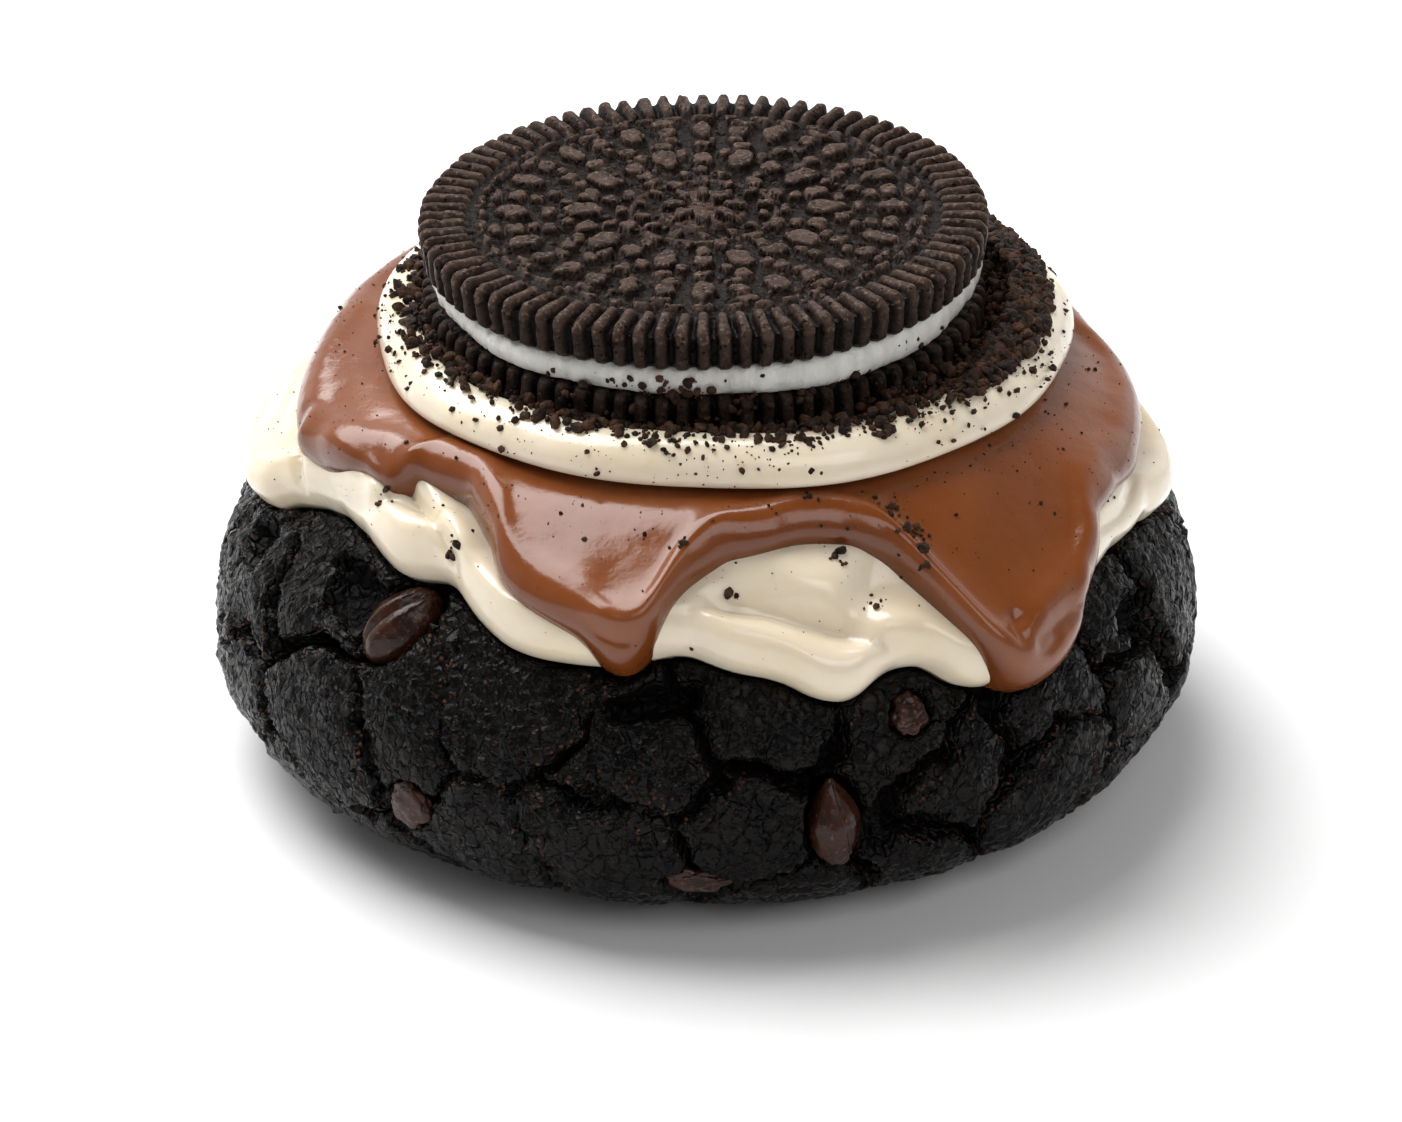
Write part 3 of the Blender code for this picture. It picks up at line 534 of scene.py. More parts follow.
def sauce_lift(azimuth, run):
    """The sauce's outer surface: draped inside, and down on the frosting at the hem."""
    hem = sauce_hem(azimuth)
    at_edge = smooth(1 - (hem - run) / SAUCE_EDGE_RUN)
    thick = SAUCE_THICKNESS + (SAUCE_EDGE_THICKNESS - SAUCE_THICKNESS) * at_edge
    folds = SAUCE_BEAD * bead(hem, run) + crease_lift(azimuth, run, SAUCE_CREASES)
    frosting = frosting_lift(azimuth, run)
    body = sauce_floor(azimuth, run, frosting) + DRAPE_GAP + thick + folds
    ground = np.maximum(frosting - HEM_SINK, SAUCE_EDGE_LIFT)
    return ground + (body - ground) * full_nose(run, hem, SAUCE_NOSE)


def points_of(piece):
    points = np.empty(len(piece.data.vertices) * 3, np.float32)
    piece.data.vertices.foreach_get("co", points)
    return points.reshape(-1, 3).astype(float)


def move_to(piece, points):
    piece.data.vertices.foreach_set("co", np.ascontiguousarray(points, np.float32).ravel())


def newest(name):
    """The object that was added last, under this name."""
    piece = bpy.context.object
    piece.name = name
    piece.data.name = name
    return piece


def weld(near):
    """Joins points this near to each other and turns the faces outwards, in edit mode, and leaves it."""
    bpy.ops.mesh.select_all(action="SELECT")
    bpy.ops.mesh.remove_doubles(threshold=near)
    bpy.ops.mesh.normals_make_consistent(inside=False)
    bpy.ops.object.mode_set(mode="OBJECT")


def placed(points, matrix):
    return points @ np.array(matrix.to_3x3()).T + np.array(matrix.to_translation())


BALL_WELD = 0.00001
LATHE_WELD = 0.000002


def ball(name, segments, rings):
    """A fine closed sphere to shape, with the azimuth and row of each point."""
    nothing_selected()
    bpy.ops.mesh.primitive_grid_add(x_subdivisions=segments, y_subdivisions=rings, size=2.0)
    piece = newest(name)
    flat = points_of(piece)
    turn = flat[:, 0] * math.pi
    down = (1.0 - flat[:, 1]) * math.pi / 2
    points = np.stack([np.sin(down) * np.sin(turn), -np.sin(down) * np.cos(turn), np.cos(down)], axis=-1)
    move_to(piece, points)
    bpy.ops.object.mode_set(mode="EDIT")
    weld(BALL_WELD)
    points = points_of(piece)
    azimuth = np.degrees(np.arctan2(points[:, 0], -points[:, 1]))
    row = np.round(np.arccos(np.clip(points[:, 2], -1.0, 1.0)) / math.pi * rings)
    return piece, azimuth, row


def shape(piece, points):
    move_to(piece, points)
    piece.data.update()
    nothing_selected()
    piece.select_set(True)
    bpy.context.view_layer.objects.active = piece
    bpy.ops.object.shade_smooth()


def mark(piece, name, values):
    """Keeps a number at each point for the material to read."""
    layer = piece.data.attributes.new(name, "FLOAT", "POINT")
    layer.data.foreach_set("value", np.ascontiguousarray(values, np.float32))


def hand_over(piece, finish, slot, *nodes):
    piece.data.materials.clear()
    piece.data.materials.append(finish)
    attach(piece, "root")
    if nodes:
        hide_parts(*nodes)


def make_crust(finish):
    rings = CRUST_HIDDEN_RINGS + CRUST_SHOWN_RINGS + CRUST_BASE_RINGS
    crust, azimuth, row = ball("baked_crust", CRUST_SEGMENTS, rings)
    foot = OUTLINE_RUN[-2]
    shown = (row - CRUST_HIDDEN_RINGS) / CRUST_SHOWN_RINGS
    run = np.where(
        row <= CRUST_HIDDEN_RINGS,
        CRUST_SHOWN_FROM * row / CRUST_HIDDEN_RINGS,
        CRUST_SHOWN_FROM + (foot - CRUST_SHOWN_FROM) * np.clip(shown, 0.0, 1.0),
    )
    last = np.clip((row - CRUST_HIDDEN_RINGS - CRUST_SHOWN_RINGS) / CRUST_BASE_RINGS, 0.0, 1.0)
    run = run + (OUTLINE_RUN[-1] - foot) * last
    depth, opened, edge = crust_relief(azimuth, run)
    points = on_dough(azimuth, run, -depth)
    points[:, 2] = np.where(last > 0, 0.0, points[:, 2])
    shape(crust, points)
    # The material paints the open cracks, hollows and pockets dark as shade by this mark.
    mark(crust, "opened", opened)
    mark(crust, "edge", edge)
    hand_over(crust, finish, "dough", "cookie_dough")


# Coats: how finely they are modelled, how far the coarse crown goes, and where the hem's shade starts
COAT_SEGMENTS = 600
COAT_CROWN_ROWS = 8
COAT_SIDE_ROWS = 84
COAT_INNER_ROWS = 8
COAT_CROWN_RUN = 0.0205
HEM_SHADE_RUN = 0.006
SAUCE_UNDER = 0.0018


def make_coat(name, hem_of, outer_of, under, finish, slot, node):
    """A coat that goes over the crown: its upper rows are its outside, its last rows its inside."""
    hem_row = COAT_CROWN_ROWS + COAT_SIDE_ROWS
    rows = hem_row + COAT_INNER_ROWS
    coat, azimuth, row = ball(name, COAT_SEGMENTS, rows)
    hem = hem_of(azimuth)
    share = np.clip((row - COAT_CROWN_ROWS) / COAT_SIDE_ROWS, 0.0, 1.0)
    down = 0.45 * share + 0.55 * np.sin(share * math.pi / 2)
    on_crown = COAT_CROWN_RUN * row / COAT_CROWN_ROWS
    run = np.where(row <= COAT_CROWN_ROWS, on_crown, COAT_CROWN_RUN + (hem - COAT_CROWN_RUN) * down)
    inside = row > hem_row
    back = np.clip((rows - row) / COAT_INNER_ROWS, 0.0, 1.0)
    run = np.where(inside, hem * back, run)
    lift = np.where(inside, under, outer_of(azimuth, run))
    foot = row == hem_row + 1
    run = np.where(foot, hem - HEM_FOOT_IN, run)
    lift = np.where(foot, outer_of(azimuth, hem) - HEM_FOOT_DOWN, lift)
    shape(coat, on_dough(azimuth, run, lift))
    # The sauce's material paints its last stretch before the hem darker as shade by this mark.
    mark(coat, "to_hem", np.clip((hem - run) / HEM_SHADE_RUN, 0.0, 1.0))
    hand_over(coat, finish, slot, node)


def lathe(name, profile, steps):
    """A solid turned from radii and heights, from the top of the axis to its bottom."""
    nothing_selected()
    bpy.ops.mesh.primitive_circle_add(vertices=3, radius=0.001)
    piece = newest(name)
    bpy.ops.object.mode_set(mode="EDIT")
    bpy.ops.mesh.select_all(action="SELECT")
    bpy.ops.mesh.delete(type="VERT")
    bpy.ops.object.mode_set(mode="OBJECT")
    count = len(profile)
    piece.data.vertices.add(count)
    piece.data.vertices.foreach_set("co", [c for radius, height in profile for c in (radius, 0.0, height)])
    piece.data.edges.add(count - 1)
    piece.data.edges.foreach_set("vertices", [c for k in range(count - 1) for c in (k, k + 1)])
    piece.data.update()
    bpy.ops.object.mode_set(mode="EDIT")
    bpy.ops.mesh.select_all(action="SELECT")
    bpy.ops.mesh.spin(steps=steps, angle=2 * math.pi, center=(0, 0, 0), axis=(0, 0, 1))
    weld(LATHE_WELD)
    return piece


# Fine shape of the bed and the filling
BED_WIDEST = 0.45 * BED_BOTTOM + 0.55 * BED_RECESS
BED_ARC_STEPS = 14
BED_FOOT_STEPS = 4
BED_STEPS = 240
FILLING_ARC_STEPS = 16
FILLING_STEPS = 360
FLAT_RADIUS = 0.012
# Waves round the axis: how high, how many, and where each starts
BED_SWELL = ((0.00022, 5, 1.1), (0.00016, 9, 0.3))
BED_TOP_WAVE = ((0.00018, 4, 2.0),)
FILLING_WAVE = ((0.00025, 5, 0.4), (0.00012, 11, 1.9))


def waves(turn, parts):
    return sum(high * np.sin(count * turn + start) for high, count, start in parts)


def bed_profile():
    """Radius and height down the outer side of the cream bed, from its middle to its bottom."""
    points = [(0.0, BED_RECESS), (FLAT_RADIUS, BED_RECESS), (BED_RECESS_RADIUS - 0.0004, BED_RECESS)]
    inner = BED_CREST_RADIUS - BED_RECESS_RADIUS
    for step in range(BED_ARC_STEPS):
        turn = math.pi / 2 * step / BED_ARC_STEPS
        points.append((BED_CREST_RADIUS - inner * math.cos(turn),
                       BED_RECESS + (BED_CREST - BED_RECESS) * math.sin(turn)))
    outer = BED_HALF_WIDTH - BED_CREST_RADIUS
    for step in range(BED_ARC_STEPS + 1):
        turn = math.pi / 2 * step / BED_ARC_STEPS
        points.append((BED_CREST_RADIUS + outer * math.sin(turn),
                       BED_WIDEST + (BED_CREST - BED_WIDEST) * math.cos(turn)))
    for step in range(1, BED_FOOT_STEPS + 1):
        turn = math.pi / 2 * step / BED_FOOT_STEPS
        points.append((BED_HALF_WIDTH - (BED_HALF_WIDTH - BED_FOOT_RADIUS) * (1 - math.cos(turn)),
                       BED_WIDEST - (BED_WIDEST - BED_BOTTOM) * math.sin(turn)))
    return points + [(FLAT_RADIUS, BED_BOTTOM), (0.0, BED_BOTTOM)]


def make_bed(finish):
    bed = lathe("piped_cream_bed", bed_profile(), BED_STEPS)
    points = points_of(bed)
    out = np.hypot(points[:, 0], points[:, 1])
    share = smooth((out - BED_RECESS_RADIUS) / (BED_CREST_RADIUS - BED_RECESS_RADIUS))
    turn = np.arctan2(points[:, 1], points[:, 0])
    points[:, :2] *= (1.0 + share * waves(turn, BED_SWELL) / 0.026)[:, None]
    top = smooth((points[:, 2] - BED_RECESS) / 0.002) * share
    points[:, 2] += top * (waves(turn, BED_TOP_WAVE) + 0.00010 * grain(points, 0.004, 41))
    points[:, 0] += WAFER_CENTRE_X + (BED_CENTRE_X - WAFER_CENTRE_X) * share
    shape(bed, points)
    hand_over(bed, finish, "cream", "cream_bed")


# Wafers: how finely they are modelled, and the raised pattern of the upper one
WAFER_STEPS = 756
TOP_WAFER_ROWS = (102, 10, 9, 8)
LOWER_WAFER_ROWS = (3, 6, 8, 12)
UNDER_ROWS = 3
BOSS_RADIUS = 0.0036
MOTIF_HEIGHT = 0.00072
# SIDE_SHARE is how much of the lighter top colour the backs of the edge's ribs get; the grooves between them
# keep the dark low colour, painted shade.
SIDE_SHARE = 0.45
RIB_RISE = 0.00008
FIELD_LUMP_SIZE = 0.00115
FIELD_LUMP_HEIGHT = 0.00030
PIT_DEPTH = 0.00022
WEAR = 0.00007
# How the edges of the motifs wander: how far, and in lumps of what size
MOTIF_WANDER = ((0.00028, 0.0009), (0.00012, 0.0003))
# Rings of raised motifs: radius, count, turn in steps, half-length outwards, half-width, height share
MOTIF_RINGS = (
    (0.0152, 16, 0.0, 0.0014, 0.0008, 1.0), (0.0098, 10, 0.0, 0.0016, 0.0010, 1.0),
    (0.0152, 16, 0.5, 0.0008, 0.0008, 0.9), (0.0136, 16, 0.5, 0.0005, 0.0006, 0.8),
    (0.0168, 16, 0.5, 0.0004, 0.0011, 0.8), (0.0124, 24, 0.0, 0.0006, 0.0007, 0.9),
    (0.0110, 20, 0.5, 0.0006, 0.0005, 0.8), (0.0096, 10, 0.5, 0.0009, 0.0009, 0.9),
    (0.0078, 10, 0.5, 0.0006, 0.0005, 0.8), (0.0066, 14, 0.0, 0.0005, 0.0007, 0.9),
    (0.0050, 14, 0.5, 0.0006, 0.0004, 0.9), (0.0178, 48, 0.0, 0.0003, 0.0008, 0.75),
    (0.0024, 8, 0.0, 0.0009, 0.0005, 1.5),
)


def motif_places():
    """Every raised motif of the field: radius, azimuth, half-length outwards, half-width, height share."""
    return [(radius, 360.0 * (k + shift) / count, long, wide, share)
            for radius, count, shift, long, wide, share in MOTIF_RINGS for k in range(count)]


def wandered(across, points, seed):
    for layer, (far, size) in enumerate(MOTIF_WANDER):
        across = across + far * grain(points, size, seed + layer)
    return across


def field_height(out, turn):
    """Height of the motifs over the field, and how steep they are, at these radii and angles."""
    x = out * np.cos(turn)
    y = out * np.sin(turn)
    points = np.stack([x, y, np.zeros(len(x))], axis=-1)
    x = wandered(x, points, 51)
    y = wandered(y, points, 53)
    near_middle, _ = cell_edges(points, FIELD_LUMP_SIZE, 57)
    crumb = smooth((0.42 - near_middle) / 0.16) * smooth((grain(points, 0.0021, 58) + 0.15) / 0.3)
    height = FIELD_LUMP_HEIGHT * crumb
    steep = 4.0 * crumb * (1.0 - crumb)
    for radius, azimuth, long, wide, share in motif_places():
        away = math.radians(azimuth)
        near = np.abs(out - radius) < long + 0.0012
        along = x[near] * math.cos(away) + y[near] * math.sin(away) - radius
        aside = -x[near] * math.sin(away) + y[near] * math.cos(away)
        size = (np.abs(along / long) ** 2.2 + np.abs(aside / wide) ** 2.2) ** (1 / 2.2)
        rise = smooth((1.22 - size) / 0.38)
        steep[near] = np.where(rise > 0.02, 4.0 * rise * (1.0 - rise), steep[near])
        height[near] = np.maximum(height[near], MOTIF_HEIGHT * share * rise)
    boss = 0.0004 * smooth((BOSS_RADIUS - out) / 0.0003 + 0.5)
    ring = 0.00055 * np.exp(-(((out - BOSS_RADIUS + 0.0003) / 0.00022) ** 2))
    ring += 0.00040 * np.exp(-(((out - 0.0058) / 0.00018) ** 2))
    return np.maximum(height, np.maximum(boss, ring)), steep


def rib_share(turn):
    """1 on the back of each rib, 0 in the groove between two."""
    ridge = np.abs(np.cos(RIBS * turn / 2))
    return smooth((ridge - 0.30) / 0.62)


def wafer_points(turn, row, rows_top, patterned):
    """One wafer, face up, bottom on z = 0: over the field and the ribs, down the edge, and under."""
    field_rows, rib_rows, bevel_rows, side_rows = rows_top
    around = np.stack([WAFER_RADIUS * np.cos(turn), WAFER_RADIUS * np.sin(turn), 0.00015 * row], axis=-1)
    rib = rib_share(turn + 0.006 * grain(around, 0.0013, 64))
    field = np.clip(row / field_rows, 0.0, 1.0)
    on_rib = np.clip((row - field_rows) / rib_rows, 0.0, 1.0)
    on_bevel = np.clip((row - field_rows - rib_rows) / bevel_rows, 0.0, 1.0)
    on_side = np.clip((row - field_rows - rib_rows - bevel_rows) / side_rows, 0.0, 1.0)
    under = np.clip(row - sum(rows_top), 0, UNDER_ROWS) / UNDER_ROWS
    flat_end = WAFER_RADIUS - RIM_BEVEL
    out = field * RIB_INNER_RADIUS + on_rib * (flat_end - RIB_INNER_RADIUS)
    level = WAFER_THICKNESS - FIELD_DROP
    height = np.full(len(row), level)
    steep = np.zeros(len(row))
    if patterned:
        motifs, steep = field_height(out, turn)
        height = np.where(on_rib <= 0, level + motifs, height)
    start = smooth((out - RIB_INNER_RADIUS + 0.0002) / 0.0006)
    crest = level + (FIELD_DROP + RIB_RISE) * start * rib - 0.00030 * start * (1 - rib)
    height = np.where(on_rib > 0, crest, height)
    lean = on_bevel * math.pi / 2
    rim_out = flat_end + RIM_BEVEL * np.sin(lean) - RIB_DEPTH * (1 - rib) * np.sin(lean)
    rim_top = WAFER_THICKNESS + RIB_RISE
    drop = (RIM_BEVEL - 0.0001) * (1 - np.cos(lean))
    groove_drop = (FIELD_DROP + 0.00038) * (1 - rib) * np.cos(lean)
    out = np.where(on_bevel > 0, rim_out, out)
    height = np.where(on_bevel > 0, rim_top - drop - groove_drop, height)
    side_top = rim_top - RIM_BEVEL + 0.0001
    side_out = WAFER_RADIUS - RIB_DEPTH * (1 - rib) - WAFER_DRAFT * on_side
    side_out -= 0.0003 * smooth((on_side - 0.88) / 0.12)
    out = np.where(on_side > 0, side_out, out)
    height = np.where(on_side > 0, side_top * (1 - on_side), height)
    out = np.where(under > 0, side_out * (1 - under), out)
    height = np.where(under > 0, 0.0, height)
    points = np.stack([out * np.cos(turn), out * np.sin(turn), height], axis=-1)
    pits = np.minimum(grain(points, 0.0005, 61), grain(points + 0.01, 0.00042, 62))
    wear = WEAR * rough_grain(points, 0.0008, 63) - PIT_DEPTH * smooth((pits - 0.18) / 0.3)
    above = smooth((height - 0.0004) / 0.0006) * (under <= 0)
    points[:, 2] += wear * above * (on_side <= 0)
    grow = 1.0 + wear * above * (on_bevel > 0) / WAFER_RADIUS
    points[:, :2] *= grow[:, None]
    # The material paints the lows (raised 0) dark as shade, and the steep sides and grooves (shaded) darker
    # still.
    raised = np.where(on_rib > 0, rib, np.clip((height - level) / 0.0004, 0.0, 1.0))
    raised = np.where(on_side > 0, SIDE_SHARE * rib, raised)
    shaded = np.where(on_rib > 0, (1.0 - rib) * start, steep)
    return points, raised, shaded


def make_wafer(name, rows_top, patterned, finish, node):
    wafer, azimuth, row = ball(name, WAFER_STEPS, sum(rows_top) + UNDER_ROWS)
    points, raised, shaded = wafer_points(np.radians(azimuth - 90.0), row, rows_top, patterned)
    level = LOWER_WAFER_Z + WAFER_THICKNESS
    turned = Matrix.Rotation(math.pi, 4, "X")
    if patterned:
        level = level + FILLING_THICKNESS + 2 * GAP
        turned = Matrix.Rotation(-UPPER_TILT, 4, "Y")
    shape(wafer, placed(points, Matrix.Translation((WAFER_CENTRE_X, 0, level)) @ turned))
    mark(wafer, "raised", raised)
    mark(wafer, "shaded", shaded)
    hand_over(wafer, finish, "wafer", node)


def make_filling(finish):
    profile = [(0.0, 1.0), (FLAT_RADIUS, 1.0)]
    for step in range(FILLING_ARC_STEPS + 1):
        turn = math.pi * step / FILLING_ARC_STEPS
        profile.append((FILLING_RADIUS - 0.0002 + 0.0008 * math.sin(turn), math.cos(turn)))
    profile += [(FLAT_RADIUS, -1.0), (0.0, -1.0)]
    half = FILLING_THICKNESS / 2 + 0.0002
    filling = lathe("vanilla_filling_layer", [(r, z * half) for r, z in profile], FILLING_STEPS)
    points = points_of(filling)
    out = np.hypot(points[:, 0], points[:, 1])
    turn = np.arctan2(points[:, 1], points[:, 0])
    level = points[:, 2] / half
    edge = smooth((out - 0.018) / 0.002)
    wave = waves(turn, FILLING_WAVE)
    streaks = np.stack([np.cos(turn) * 22, np.sin(turn) * 22, 0.35 * level], axis=-1) * 0.001
    wave += 0.00016 * grain(streaks, 0.0006, 71) + 0.00010 * grain(streaks, 0.0002, 72)
    points[:, :2] *= (1 + wave * edge / FILLING_RADIUS)[:, None]
    points[:, 2] += np.where(level > 0, points[:, 0] * math.tan(UPPER_TILT) * level, 0.0)
    middle = LOWER_WAFER_Z + WAFER_THICKNESS + GAP + FILLING_THICKNESS / 2
    shape(filling, points + np.array((WAFER_CENTRE_X, 0, middle)))
    hand_over(filling, finish, "filling", "filling")


def chip_frame(azimuth, height, lean, sunk):
    """Matrix that stands a chip on the dough's side: its Z up the slope, its Y outwards."""
    run = run_at_height(height)
    middle = Vector(on_dough(azimuth, run, -sunk))
    outwards = (Vector(on_dough(azimuth, run, 0.001)) - Vector(on_dough(azimuth, run))).normalized()
    upwards = (Vector(on_dough(azimuth, run - 0.0004)) - Vector(on_dough(azimuth, run))).normalized()
    across = outwards.cross(upwards).normalized()
    upwards = across.cross(outwards)
    frame_turn = Matrix((across, outwards, upwards)).transposed().to_4x4()
    return Matrix.Translation(middle) @ frame_turn @ Matrix.Rotation(-math.radians(lean), 4, "Y")


CHIP_SEGMENTS = 72
CHIP_ROWS = 48
CHIP_GRAIN_SCALE = 0.01
WORN_CHIPS = ("chip_flat", "chip_base", "chip_notch", "chip_far_left")
FOLDED_CHIPS = ("chip_left", "chip_back")
SPLIT_FROM_TIP = 0.6


def make_chip(name, finish):
    """A chip of melted and set chocolate: a folded bean, a drop with a split, or a worn lump."""
    azimuth, height, half_width, half_length, half_thick, lean, tip, sunk = CHIPS[name]
    chip, _, _ = ball(name + "_chocolate", CHIP_SEGMENTS, CHIP_ROWS)
    points = points_of(chip)
    x, y, z = points[:, 0], points[:, 1], points[:, 2]
    unit = points * CHIP_GRAIN_SCALE
    bump = 0.03 * rough_grain(unit, 0.006, 81) + 0.015 * grain(unit, 0.0015, 82)
    narrow = 1.0 - 0.75 * tip * np.maximum(z, 0.0) ** 1.3
    if name in WORN_CHIPS:
        bump += 0.17 * rough_grain(unit, 0.009, 83, 2) + 0.10 * rough_grain(unit, 0.0042, 84, 2)
        points[:, 1] = 0.55 * np.tanh(points[:, 1] / 0.55)
    size = 1.0 + bump
    if name in FOLDED_CHIPS:
        seam = np.exp(-(((x - 0.18 + 0.10 * np.sin(2.2 * z)) / 0.13) ** 2))
        lobe = 0.10 * np.exp(-(((x + 0.30) / 0.22) ** 2))
        size = size * (1.0 + (lobe - 0.30 * seam) * smooth(y / 0.4) * smooth((1 - np.abs(z)) / 0.3))
    if tip >= SPLIT_FROM_TIP:
        split = np.exp(-(((x + 0.28 - 0.18 * z) / 0.05) ** 2))
        step = 0.10 * smooth((-0.28 + 0.18 * z - x) / 0.06)
        size = size * (1.0 - (0.14 * split + step) * smooth(y / 0.3))
    points = points * size[:, None] * np.array((half_width, half_thick, half_length))
    points[:, :2] *= narrow[:, None]
    shape(chip, placed(points, chip_frame(azimuth, height, lean, sunk)))
    hand_over(chip, finish, "chips", name)


# The mix node's sockets for colours
MIX_SHARE, MIX_FIRST, MIX_SECOND = 0, 6, 7
MIX_RESULT = 2


class Nodes:
    """Adds nodes to one tree. Their inputs are numbers, colours or other nodes' outputs."""

    def __init__(self, tree):
        self.tree = tree

    def fill(self, slot, value):
        if isinstance(value, bpy.types.NodeSocket):
            self.tree.links.new(value, slot)
        else:
            slot.default_value = (*value, 1.0) if slot.type == "RGBA" else value

    def add(self, kind, inputs, output, **settings):
        node = self.tree.nodes.new("ShaderNode" + kind)
        for name, value in settings.items():
            setattr(node, name, value)
        for name, value in inputs.items():
            self.fill(node.inputs[name], value)
        return node.outputs[output]

    def spread(self, value, low, high, to_low=0.0, to_high=1.0):
        inputs = {"Value": value, "From Min": low, "From Max": high, "To Min": to_low, "To Max": to_high}
        return self.add("MapRange", inputs, "Result")

    def combine(self, first, second, how="MULTIPLY"):
        return self.add("Math", {0: first, 1: second}, "Value", operation=how)


class Finish(Nodes):
    """A material in the making, with these values on its shader's own sockets."""

    def __init__(self, name, values):
        self.material = bpy.data.materials.new(name)
        self.material.use_nodes = True
        super().__init__(self.material.node_tree)
        self.shader = self.tree.nodes["Principled BSDF"]
        for socket, value in values.items():
            self.fill(self.shader.inputs[socket], value)
        self.place = self.add("TexCoord", {}, "Object")

    def noise(self, scale, detail=3.0, place=None, output="Fac", kind="FBM"):
        inputs = {"Vector": place or self.place, "Scale": scale, "Detail": detail}
        return self.add("TexNoise", inputs, output, noise_type=kind)

    def cells(self, scale, place=None, feature="F1"):
        """Distance from the middles of small cells, or from their edges."""
        inputs = {"Vector": place or self.place, "Scale": scale}
        return self.add("TexVoronoi", inputs, "Distance", feature=feature)

    def stretched(self, place, stretch):
        return self.add("Mapping", {"Vector": place, "Scale": stretch}, "Vector")

    def ragged(self, scale, amount):
        """The place moved about by noise, so that cells get ragged edges."""
        wander = self.noise(scale, 2.0, output="Color")
        middle = self.add("VectorMath", {0: wander, 1: (0.5, 0.5, 0.5)}, 0, operation="SUBTRACT")
        scaled = self.add("VectorMath", {0: middle, "Scale": amount}, 0, operation="SCALE")
        return self.add("VectorMath", {0: self.place, 1: scaled}, 0, operation="ADD")

    def marked(self, name):
        return self.add("Attribute", {}, "Fac", attribute_name=name)

    def blend(self, share, first, second):
        inputs = {MIX_SHARE: share, MIX_FIRST: first, MIX_SECOND: second}
        return self.add("Mix", inputs, MIX_RESULT, data_type="RGBA")

    def patchy(self, patches, first, second, low=0.35, high=0.65):
        """Two colours in soft patches."""
        return self.blend(self.spread(patches, low, high), first, second)

    def done(self, base, roughness, *bumps):
        """The material, once it has its colour, its roughness, and bumps as heights and distances."""
        normal = None
        for height, distance in bumps:
            inputs = {"Height": height, "Distance": distance, "Strength": 1.0}
            if normal:
                inputs["Normal"] = normal
            normal = self.add("Bump", inputs, "Normal")
        for socket, value in (("Base Color", base), ("Roughness", roughness), ("Normal", normal)):
            self.fill(self.shader.inputs[socket], value)
        return self.material


def make_crust_finish():
    crust = Finish("baked_dark_crust", {"Specular IOR Level": 0.10})
    ragged = crust.ragged(700.0, 0.0011)
    edges = crust.cells(950.0, crust.stretched(ragged, (1, 1, 0.62)), "DISTANCE_TO_EDGE")
    plates = crust.spread(edges, 0.0, 0.16)
    veins = crust.noise(1300.0, place=ragged, kind="RIDGED_MULTIFRACTAL")
    opened = crust.marked("opened")
    base = crust.patchy(crust.noise(260.0, 4.0), (0.0015, 0.0012, 0.0011), (0.0052, 0.0041, 0.0034))
    # Painted shade: the base goes darker along the edges of the fine cells, in the grooves that their bump
    # draws.
    base = crust.blend(crust.spread(plates, 0.0, 0.8, 0.75, 0.0), base, (0.0020, 0.0017, 0.0015))
    dots = crust.spread(crust.cells(1900.0), 0.22, 0.38, 1.0, 0.0)
    chosen = crust.spread(crust.noise(900.0, 2.0), 0.50, 0.60)
    warm = crust.combine(chosen, crust.spread(crust.marked("edge"), 0.15, 0.75, 0.10, 1.0))
    base = crust.blend(crust.combine(dots, warm), base, (0.115, 0.045, 0.028))
    # Painted shade: the base goes nearly black down in the cracks, hollows and chip pockets, as far as they
    # are open.
    base = crust.blend(crust.spread(opened, 0.2, 1.0, 0.0, 0.85), base, (0.0012, 0.0010, 0.0009))
    gloss = crust.spread(crust.noise(420.0), 0.35, 0.65, 0.10, 0.28)
    gloss = crust.combine(gloss, crust.spread(opened, 0.2, 1.0, 0.0, 0.35), "ADD")
    return crust.done(base, gloss, (plates, 0.00018), (veins, 0.00014), (crust.noise(4200.0), 0.00006))


def make_cream_finish(name, colour, shade, gloss):
    """Frosting or piped cream: ivory, let light in a little, with a soft even gloss."""
    cream = Finish(name, {
        "Subsurface Weight": 0.22, "Subsurface Radius": (1.0, 0.66, 0.40), "Subsurface Scale": 0.0022,
        "Specular IOR Level": 0.5, "Coat Weight": 0.35, "Coat Roughness": 0.12,
    })
    broad = cream.noise(130.0)
    roughness = cream.spread(broad, 0.3, 0.7, gloss - 0.05, gloss + 0.07)
    tint = cream.patchy(broad, colour, shade)
    return cream.done(tint, roughness, (broad, 0.0006), (cream.noise(1500.0), 0.000022))


def make_sauce_finish():
    sauce = Finish("milk_chocolate_sauce", {
        "Specular IOR Level": 0.40, "Coat Weight": 0.18, "Coat Roughness": 0.10,
    })
    broad = sauce.noise(120.0)
    body = sauce.patchy(broad, (0.178, 0.046, 0.0090), (0.208, 0.057, 0.0130))
    # Painted shade: the sauce goes darker over the last HEM_SHADE_RUN before its hem.
    painted_rim_shade = sauce.spread(sauce.marked("to_hem"), 0.0, 0.22, 0.7, 0.0)
    base = sauce.blend(painted_rim_shade, body, (0.108, 0.027, 0.0058))
    roughness = sauce.spread(broad, 0.3, 0.7, 0.16, 0.24)
    return sauce.done(base, roughness, (broad, 0.0004), (sauce.noise(2600.0), 0.000020))


